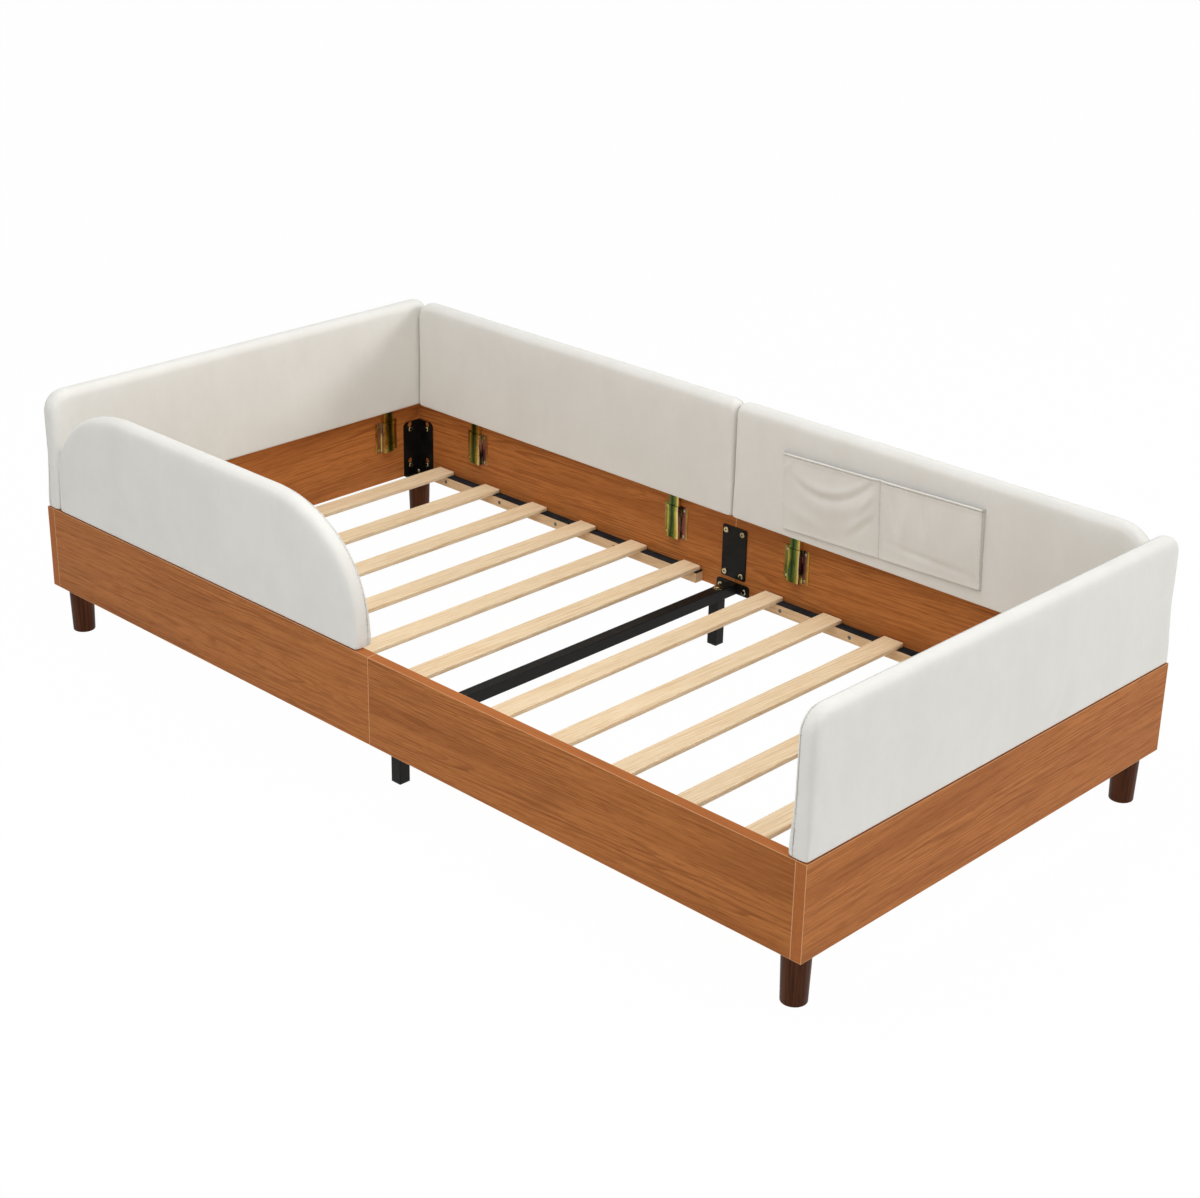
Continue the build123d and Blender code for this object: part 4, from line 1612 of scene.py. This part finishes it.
    def make_stitches(self) -> Object:
        """Sews the middle with two rows of stitches, and the hem with one.

        Returns:
            All the stitches as one piece.
        """
        half = self.width / 2
        foot, mouth = self.row_end, self.height - 1.5 * self.row_end
        level = self.height - self.hem - self.seam_inset
        rows = [((side, foot), (side, mouth)) for side in (half - self.row_gap / 2, half + self.row_gap / 2)]
        rows.append(((self.row_end, level), (self.width - self.row_end, level)))
        deselect_all()
        bpy.ops.mesh.primitive_cube_add(size=MM)
        obj = bpy.context.object
        obj.name = "pocket_thread"
        bpy.ops.object.mode_set(mode="EDIT")
        bpy.ops.mesh.select_all(action="SELECT")
        bpy.ops.mesh.delete(type="VERT")
        for start, end in rows:
            run = Vector(end) - Vector(start)
            count = int(run.length / (self.stitch + self.stitch_gap))
            for index in range(count):
                first = Vector(start) + run * (index / count)
                last = first + run.normalized() * self.stitch
                ends = [self.point(*p, self.depth(*p) + self.thickness) for p in (first, last)]
                self.add_stitch(*ends)
        bpy.ops.object.mode_set(mode="OBJECT")
        bpy.ops.object.shade_smooth()
        return obj

    def add_stitch(self, start: Vector, end: Vector) -> None:
        """Adds one stitch to the mesh in edit mode.

        Args:
            start: Where it comes out of the cloth.
            end: Where it goes in again.
        """
        turn = (end - start).to_track_quat("Z", "Y").to_euler()
        size = Vector((self.stitch_width, self.stitch_width, self.stitch)) * MM
        bpy.ops.mesh.primitive_uv_sphere_add(segments=6, ring_count=4, radius=0.5,
                                             location=(start + end) / 2, rotation=turn, scale=size)


# Camera, floor and lights


@dataclass(frozen=True)
class Lamp:
    """A square soft light that points at the bed.

    Attributes:
        name: Its name.
        place: Where it stands.
        size: Its side.
        watts: Its power.
    """

    name: str
    place: tuple[float, float, float]
    size: float
    watts: float

    def build(self, target: Vector) -> None:
        """Adds the light.

        Args:
            target: What it points at.
        """
        data = bpy.data.lights.new(self.name, "AREA")
        data.shape = "SQUARE"
        data.size = self.size
        data.energy = self.watts
        lamp = bpy.data.objects.new(self.name, data)
        bpy.context.scene.collection.objects.link(lamp)
        lamp.location = self.place
        lamp.rotation_euler = (target - lamp.location).to_track_quat("-Z", "Y").to_euler()


@dataclass
class Studio:
    """A white floor under plain soft light, and the camera of the photograph.

    Attributes:
        place: Where the camera stands.
        azimuth: How far round the bed it stands, in degrees from straight in front.
        elevation: How far it looks down, in degrees.
        roll: How far it is turned about its line of sight, in degrees.
        focal_pixels: Its focal length in pixels of the photograph.
        frame_pixels: How many pixels the photograph is wide.
        sensor: The width of its sensor in millimetres.
        floor_reach: The side of the floor.
        floor_paint: How light the floor is.
        floor_glow_share: How much of the floor's white the camera sees without shade.
        world_light: How strongly the surroundings light the bed.
        target: What the lamps point at.
        lamps: A large light overhead, a far one low behind the right side and a weak one in front.
    """

    place: Vector = Vector((2.8584, -2.9120, 2.0392))
    azimuth: float = 43.63
    elevation: float = 23.81
    roll: float = -1.17
    focal_pixels: float = 2266.0
    frame_pixels: float = 1200.0
    sensor: float = 36.0
    floor_reach: float = 30.0
    floor_paint: float = 0.86
    floor_glow_share: float = 0.985
    world_light: float = 0.475
    target: Vector = Vector((0.0, 0.0, 0.25))
    lamps: tuple[Lamp, ...] = (
        Lamp("overhead", (0.2, -0.7, 3.4), 3.0, 76),
        Lamp("back_right", (6.0, 5.0, 3.3), 2.2, 218),
        Lamp("front_fill", (2.0, -5.0, 2.0), 2.6, 23),
    )

    def build(self) -> None:
        """Makes the floor, the lights, the world and the camera."""
        self.add_camera()
        self.add_floor()
        for lamp in self.lamps:
            lamp.build(self.target)
        self.set_world()
        bpy.context.scene.view_settings.view_transform = "Standard"

    def add_camera(self) -> None:
        """Stands the camera where the photograph was taken from."""
        a = math.radians(self.azimuth)
        e = math.radians(self.elevation)
        t = math.radians(self.roll)
        back = Vector((math.sin(a) * math.cos(e), -math.cos(a) * math.cos(e), math.sin(e)))
        right = Vector((math.cos(a), math.sin(a), 0.0))
        down = right.cross(back)
        turned_right = math.cos(t) * right + math.sin(t) * down
        turned_down = math.cos(t) * down - math.sin(t) * right
        data = bpy.data.cameras.new("camera")
        data.sensor_width = self.sensor
        data.lens = self.focal_pixels / self.frame_pixels * self.sensor
        camera = bpy.data.objects.new("camera", data)
        bpy.context.scene.collection.objects.link(camera)
        columns = Matrix((turned_right, -turned_down, back)).transposed()
        camera.matrix_world = Matrix.Translation(self.place) @ columns.to_4x4()
        bpy.context.scene.camera = camera

    def add_floor(self) -> None:
        """Lays a white floor that shows white to the camera and keeps a faint shadow."""
        deselect_all()
        bpy.ops.mesh.primitive_plane_add(size=self.floor_reach)
        floor = bpy.context.object
        floor.name = "floor"
        material = bpy.data.materials.new("floor_white")
        material.use_nodes = True
        sketch = Sketch(material.node_tree)
        sketch.tree.nodes.clear()
        grey = (self.floor_paint, self.floor_paint, self.floor_paint, 1)
        paint = sketch.add("ShaderNodeBsdfDiffuse", {"Color": grey})
        glow = sketch.add("ShaderNodeEmission", {"Color": (1, 1, 1, 1), "Strength": 1.0})
        path = sketch.add("ShaderNodeLightPath").outputs
        seen = sketch.math("MAXIMUM", path["Is Camera Ray"], path["Is Glossy Ray"])
        share = sketch.math("MULTIPLY", seen, self.floor_glow_share)
        mixed = sketch.add("ShaderNodeMixShader", {0: share, 1: paint.outputs[0], 2: glow.outputs[0]})
        sketch.add("ShaderNodeOutputMaterial", {"Surface": mixed.outputs[0]})
        floor.data.materials.append(material)

    def set_world(self) -> None:
        """Lights everything evenly, and shows white behind the object."""
        world = bpy.data.worlds.new("world")
        world.use_nodes = True
        sketch = Sketch(world.node_tree)
        sketch.tree.nodes.clear()
        path = sketch.add("ShaderNodeLightPath").outputs
        seen = sketch.math("MAXIMUM", path["Is Camera Ray"], path["Is Transmission Ray"])
        strength = sketch.math("MULTIPLY_ADD", seen, 1.0 - self.world_light, self.world_light)
        light = sketch.add("ShaderNodeBackground", {"Color": (1, 1, 1, 1), "Strength": strength})
        sketch.add("ShaderNodeOutputWorld", {"Surface": light.outputs[0]})
        bpy.context.scene.world = world


# The bed


@dataclass
class BoardFrame:
    """The boards, slats, beam and fittings, with eased edges and their finishes.

    Attributes:
        slat_count: How many slats there are.
        eased: The starts of nodes' names, how far their edges are rounded over, and their material slot.
        hanger_ease: How far the hangers' edges are rounded over.
        bolt_ease: How far the bolts' edges are rounded over.
        socket_reach: How far the hexagon socket of a bolt reaches from its middle.
    """

    slat_count: int = 12
    eased: tuple[tuple[tuple[str, ...], float, str], ...] = (
        (("front_rail", "back_rail", "head_board", "foot_board"), 0.7 * MM, "laminated_board"),
        (("slat",), 1.2 * MM, "pine"),
        (("ledger_front", "ledger_back"), 1.0 * MM, "pine"),
        (("centre_beam", "centre_leg_front", "centre_leg_back"), 0.8 * MM, "black_steel"),
        (("corner_bracket", "joint_plate", "beam_flanges"), 0.6 * MM, "black_steel"),
        (("leg_front", "leg_back"), 1.2 * MM, "walnut_stain"),
    )
    hanger_ease: float = 0.4 * MM
    bolt_ease: float = 0.2 * MM
    socket_reach: float = 2.7 * MM

    def paint(self, node: str, material: Material) -> None:
        """Gives a node its finish, on a copy with eased edges where it has them.

        Args:
            node: The node's name.
            material: The finish.
        """
        obj = bpy.data.objects[node]
        for starts, radius, slot in self.eased:
            if node.startswith(starts):
                obj = ease_edges(node, radius, slot)
        show(obj, material)

    def dress_boards(self) -> None:
        """Prints each board with its own stretch of grain."""
        laminate = Laminate()
        boards = {
            "front_rail_left": Print(Axis.X, heart=-0.04, shift=0.4, tone=1.0),
            "front_rail_right": Print(Axis.X, heart=-0.03, shift=3.1, tone=1.0),
            "back_rail_left": Print(Axis.X, heart=0.05, shift=5.3, tone=1.08),
            "back_rail_right": Print(Axis.X, heart=-0.01, shift=7.7, tone=1.03),
            # The head board is printed lighter as painted light, making up for the shade inside the frame.
            "head_board": Print(Axis.Y, heart=0.06, shift=9.2, tone=1.24),
            "foot_board": Print(Axis.Y, heart=0.09, shift=12.6, tone=1.04),
        }
        for node, stretch in boards.items():
            self.paint(node, laminate.build(node, stretch))

    def dress_slats(self) -> None:
        """Gives every slat and ledger its own piece of pine."""
        slat = BareTimber(early=(0.875, 0.705, 0.475), late=(0.68, 0.46, 0.25), ring_width=5.0,
                          ring_share=0.6, roughness=0.55, along=Axis.Y)
        for index in range(1, self.slat_count + 1):
            node = f"slat_{index:02d}"
            self.paint(node, slat.build(node + "_pine", 0.37 * index))
        ledger = BareTimber(early=(0.72, 0.50, 0.29), late=(0.56, 0.35, 0.18), ring_width=4.5,
                            ring_share=0.5, roughness=0.6, along=Axis.X)
        for index, end in enumerate(CORNERS):
            self.paint("ledger_" + end, ledger.build("ledger_" + end + "_pine", 0.21 * index))

    def dress_metal(self) -> None:
        """Coats the steel parts and the fasteners."""
        coat = Skin(light=(0.010, 0.009, 0.008), dark=(0.005, 0.005, 0.004), smooth=0.36, rough=0.48,
                    metallic=0.0, grain=900, relief=0.06 * MM)
        plate = Skin(light=(0.56, 0.48, 0.30), dark=(0.26, 0.21, 0.11), smooth=0.16, rough=0.30,
                     metallic=1.0, grain=700, relief=0.03 * MM)
        dull = Skin(light=(0.16, 0.15, 0.13), dark=(0.08, 0.07, 0.06), smooth=0.35, rough=0.5,
                    metallic=1.0, grain=700, relief=0.03 * MM)
        black = coat.build("black_steel")
        zinc = plate.build("zinc")
        for end in CORNERS:
            self.paint("corner_bracket_" + end, black)
        for side in ("front", "back"):
            self.paint("joint_plate_" + side, black)
            self.paint("centre_leg_" + side, black)
        for node in ("centre_beam", "beam_flanges"):
            self.paint(node, black)
        for node in ("leg_studs", "centre_leg_bolts", "socket_screws"):
            self.paint(node, zinc)
        self.paint("ledger_screws", dull.build("dark_zinc"))
        self.paint_bolts(zinc, black)
        self.paint_hangers()

    def paint_bolts(self, zinc: Material, shade: Material) -> None:
        """Plates the frame's bolts, and paints shade into the sockets in their heads.

        Args:
            zinc: The plate.
            shade: The black finish that stands for the painted shade inside the sockets.
        """
        obj = ease_edges("frame_bolts", self.bolt_ease, "zinc")
        show(obj, zinc, shade)
        mesh = bmesh.new()
        mesh.from_mesh(obj.data)
        for bolt in islands(mesh):
            self.paint_socket_shade(bolt)
        mesh.to_mesh(obj.data)
        mesh.free()

    def paint_socket_shade(self, bolt: set[BMVert]) -> None:
        """Gives the faces in a bolt's hexagon socket the second finish, as painted shade.

        Args:
            bolt: The bolt's vertices.
        """
        middle, size = middle_and_size(bolt)
        axis = max(range(3), key=lambda index: size[index])
        others = [index for index in range(3) if index != axis]
        for face in {face for vertex in bolt for face in vertex.link_faces}:
            far = max(math.hypot(*[v.co[index] - middle[index] for index in others]) for v in face.verts)
            if far < self.socket_reach:
                # Painted shade: faces deep in the socket take the black finish.
                face.material_index = 1

    def paint_hangers(self) -> None:
        """Plates the sockets and the tongues, each with bands drawn round its own middle."""
        nodes = ("hanger_sockets", *(panel + "_hooks" for panel in PANELS))
        pieces = [ease_edges(node, self.hanger_ease, "yellow_zinc") for node in nodes]
        hangers = self.find_hangers(pieces[0])
        zinc = YellowZinc()
        finishes = []
        for index, (along, middle) in enumerate(hangers):
            way = -1 if along is Axis.Y else 1
            finishes.append(zinc.build(f"yellow_zinc_{index}", along, middle[along.value], way))
        for obj in pieces:
            show(obj, *finishes)
            for face in obj.data.polygons:
                away = [(middle - face.center).xy.length for _, middle in hangers]
                face.material_index = away.index(min(away))

    @staticmethod
    def find_hangers(sockets: Object) -> list[tuple[Axis, Vector]]:
        """Says which way each hanger lies and where.

        Args:
            sockets: All the sockets.

        Returns:
            The axis that each is wide along, and its middle.
        """
        mesh = bmesh.new()
        mesh.from_mesh(sockets.data)
        found = []
        for part in islands(mesh):
            middle, size = middle_and_size(part)
            found.append((Axis.X if size.x > size.y else Axis.Y, middle))
        mesh.free()
        return sorted(found, key=lambda hanger: tuple(hanger[1]))

    def dress_rest(self) -> None:
        """Finishes the legs, strips, caps and inner boards."""
        walnut = StainedLeg().build()
        for end in CORNERS:
            self.paint("leg_" + end, walnut)
        felt = Skin(light=(0.022, 0.022, 0.024), dark=(0.010, 0.010, 0.011), smooth=0.85, rough=0.95,
                    metallic=0.0, grain=1400, relief=0.3 * MM)
        plastic = Skin(light=(0.025, 0.025, 0.026), dark=(0.016, 0.016, 0.017), smooth=0.4, rough=0.5,
                       metallic=0.0, grain=600, relief=0.05 * MM)
        self.paint("grip_strips", felt.build("felt"))
        self.paint("centre_leg_caps", plastic.build("plastic"))
        ply = BareTimber(early=(0.60, 0.43, 0.26), late=(0.46, 0.30, 0.16), ring_width=6.0,
                         ring_share=0.5, roughness=0.7, along=Axis.X)
        for index, panel in enumerate(PANELS):
            self.paint(panel + "_core", ply.build(panel + "_plywood", 0.3 * index))

    def build(self) -> None:
        """Dresses all of it."""
        self.dress_boards()
        self.dress_slats()
        self.dress_metal()
        self.dress_rest()
        LOG.info("frame dressed")


def make_panels() -> list[PaddedPanel]:
    """Lists the five panels with their corner radii.

    Returns:
        The panels in the order in which they are made.
    """
    ends = (Side.LOW, Side.HIGH)
    return [
        PaddedPanel("head_panel", Axis.Y, (0.044, 0.044), (0.032, 0.032), Side.LOW),
        PaddedPanel("foot_panel", Axis.Y, (0.044, 0.044), (0.032, 0.032), Side.LOW),
        PaddedPanel("back_panel_left", Axis.X, (0.030, 0.030), (0.018, 0.018), Side.HIGH, ends),
        PaddedPanel("back_panel_right", Axis.X, (0.018, 0.018), (0.072, 0.072), Side.HIGH, ends),
        PaddedPanel("front_guard", Axis.X, (0.236, 0.162), (0.246, 0.198), Side.HIGH, (Side.LOW,)),
    ]


def main() -> None:
    """Builds the studio and dresses the bed piece by piece."""
    logging.basicConfig(level=logging.INFO, format="%(name)s: %(message)s")
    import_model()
    deselect_all()
    for make in (make_timber_effect, make_arris_effect, make_speckle_effect, make_pile_effect):
        make()
    Studio().build()
    BoardFrame().build()
    covers = {panel.name: panel.build() for panel in make_panels()}
    StoragePocket(covers["back_panel_right"]).build()


if __name__ == "__main__":
    main()
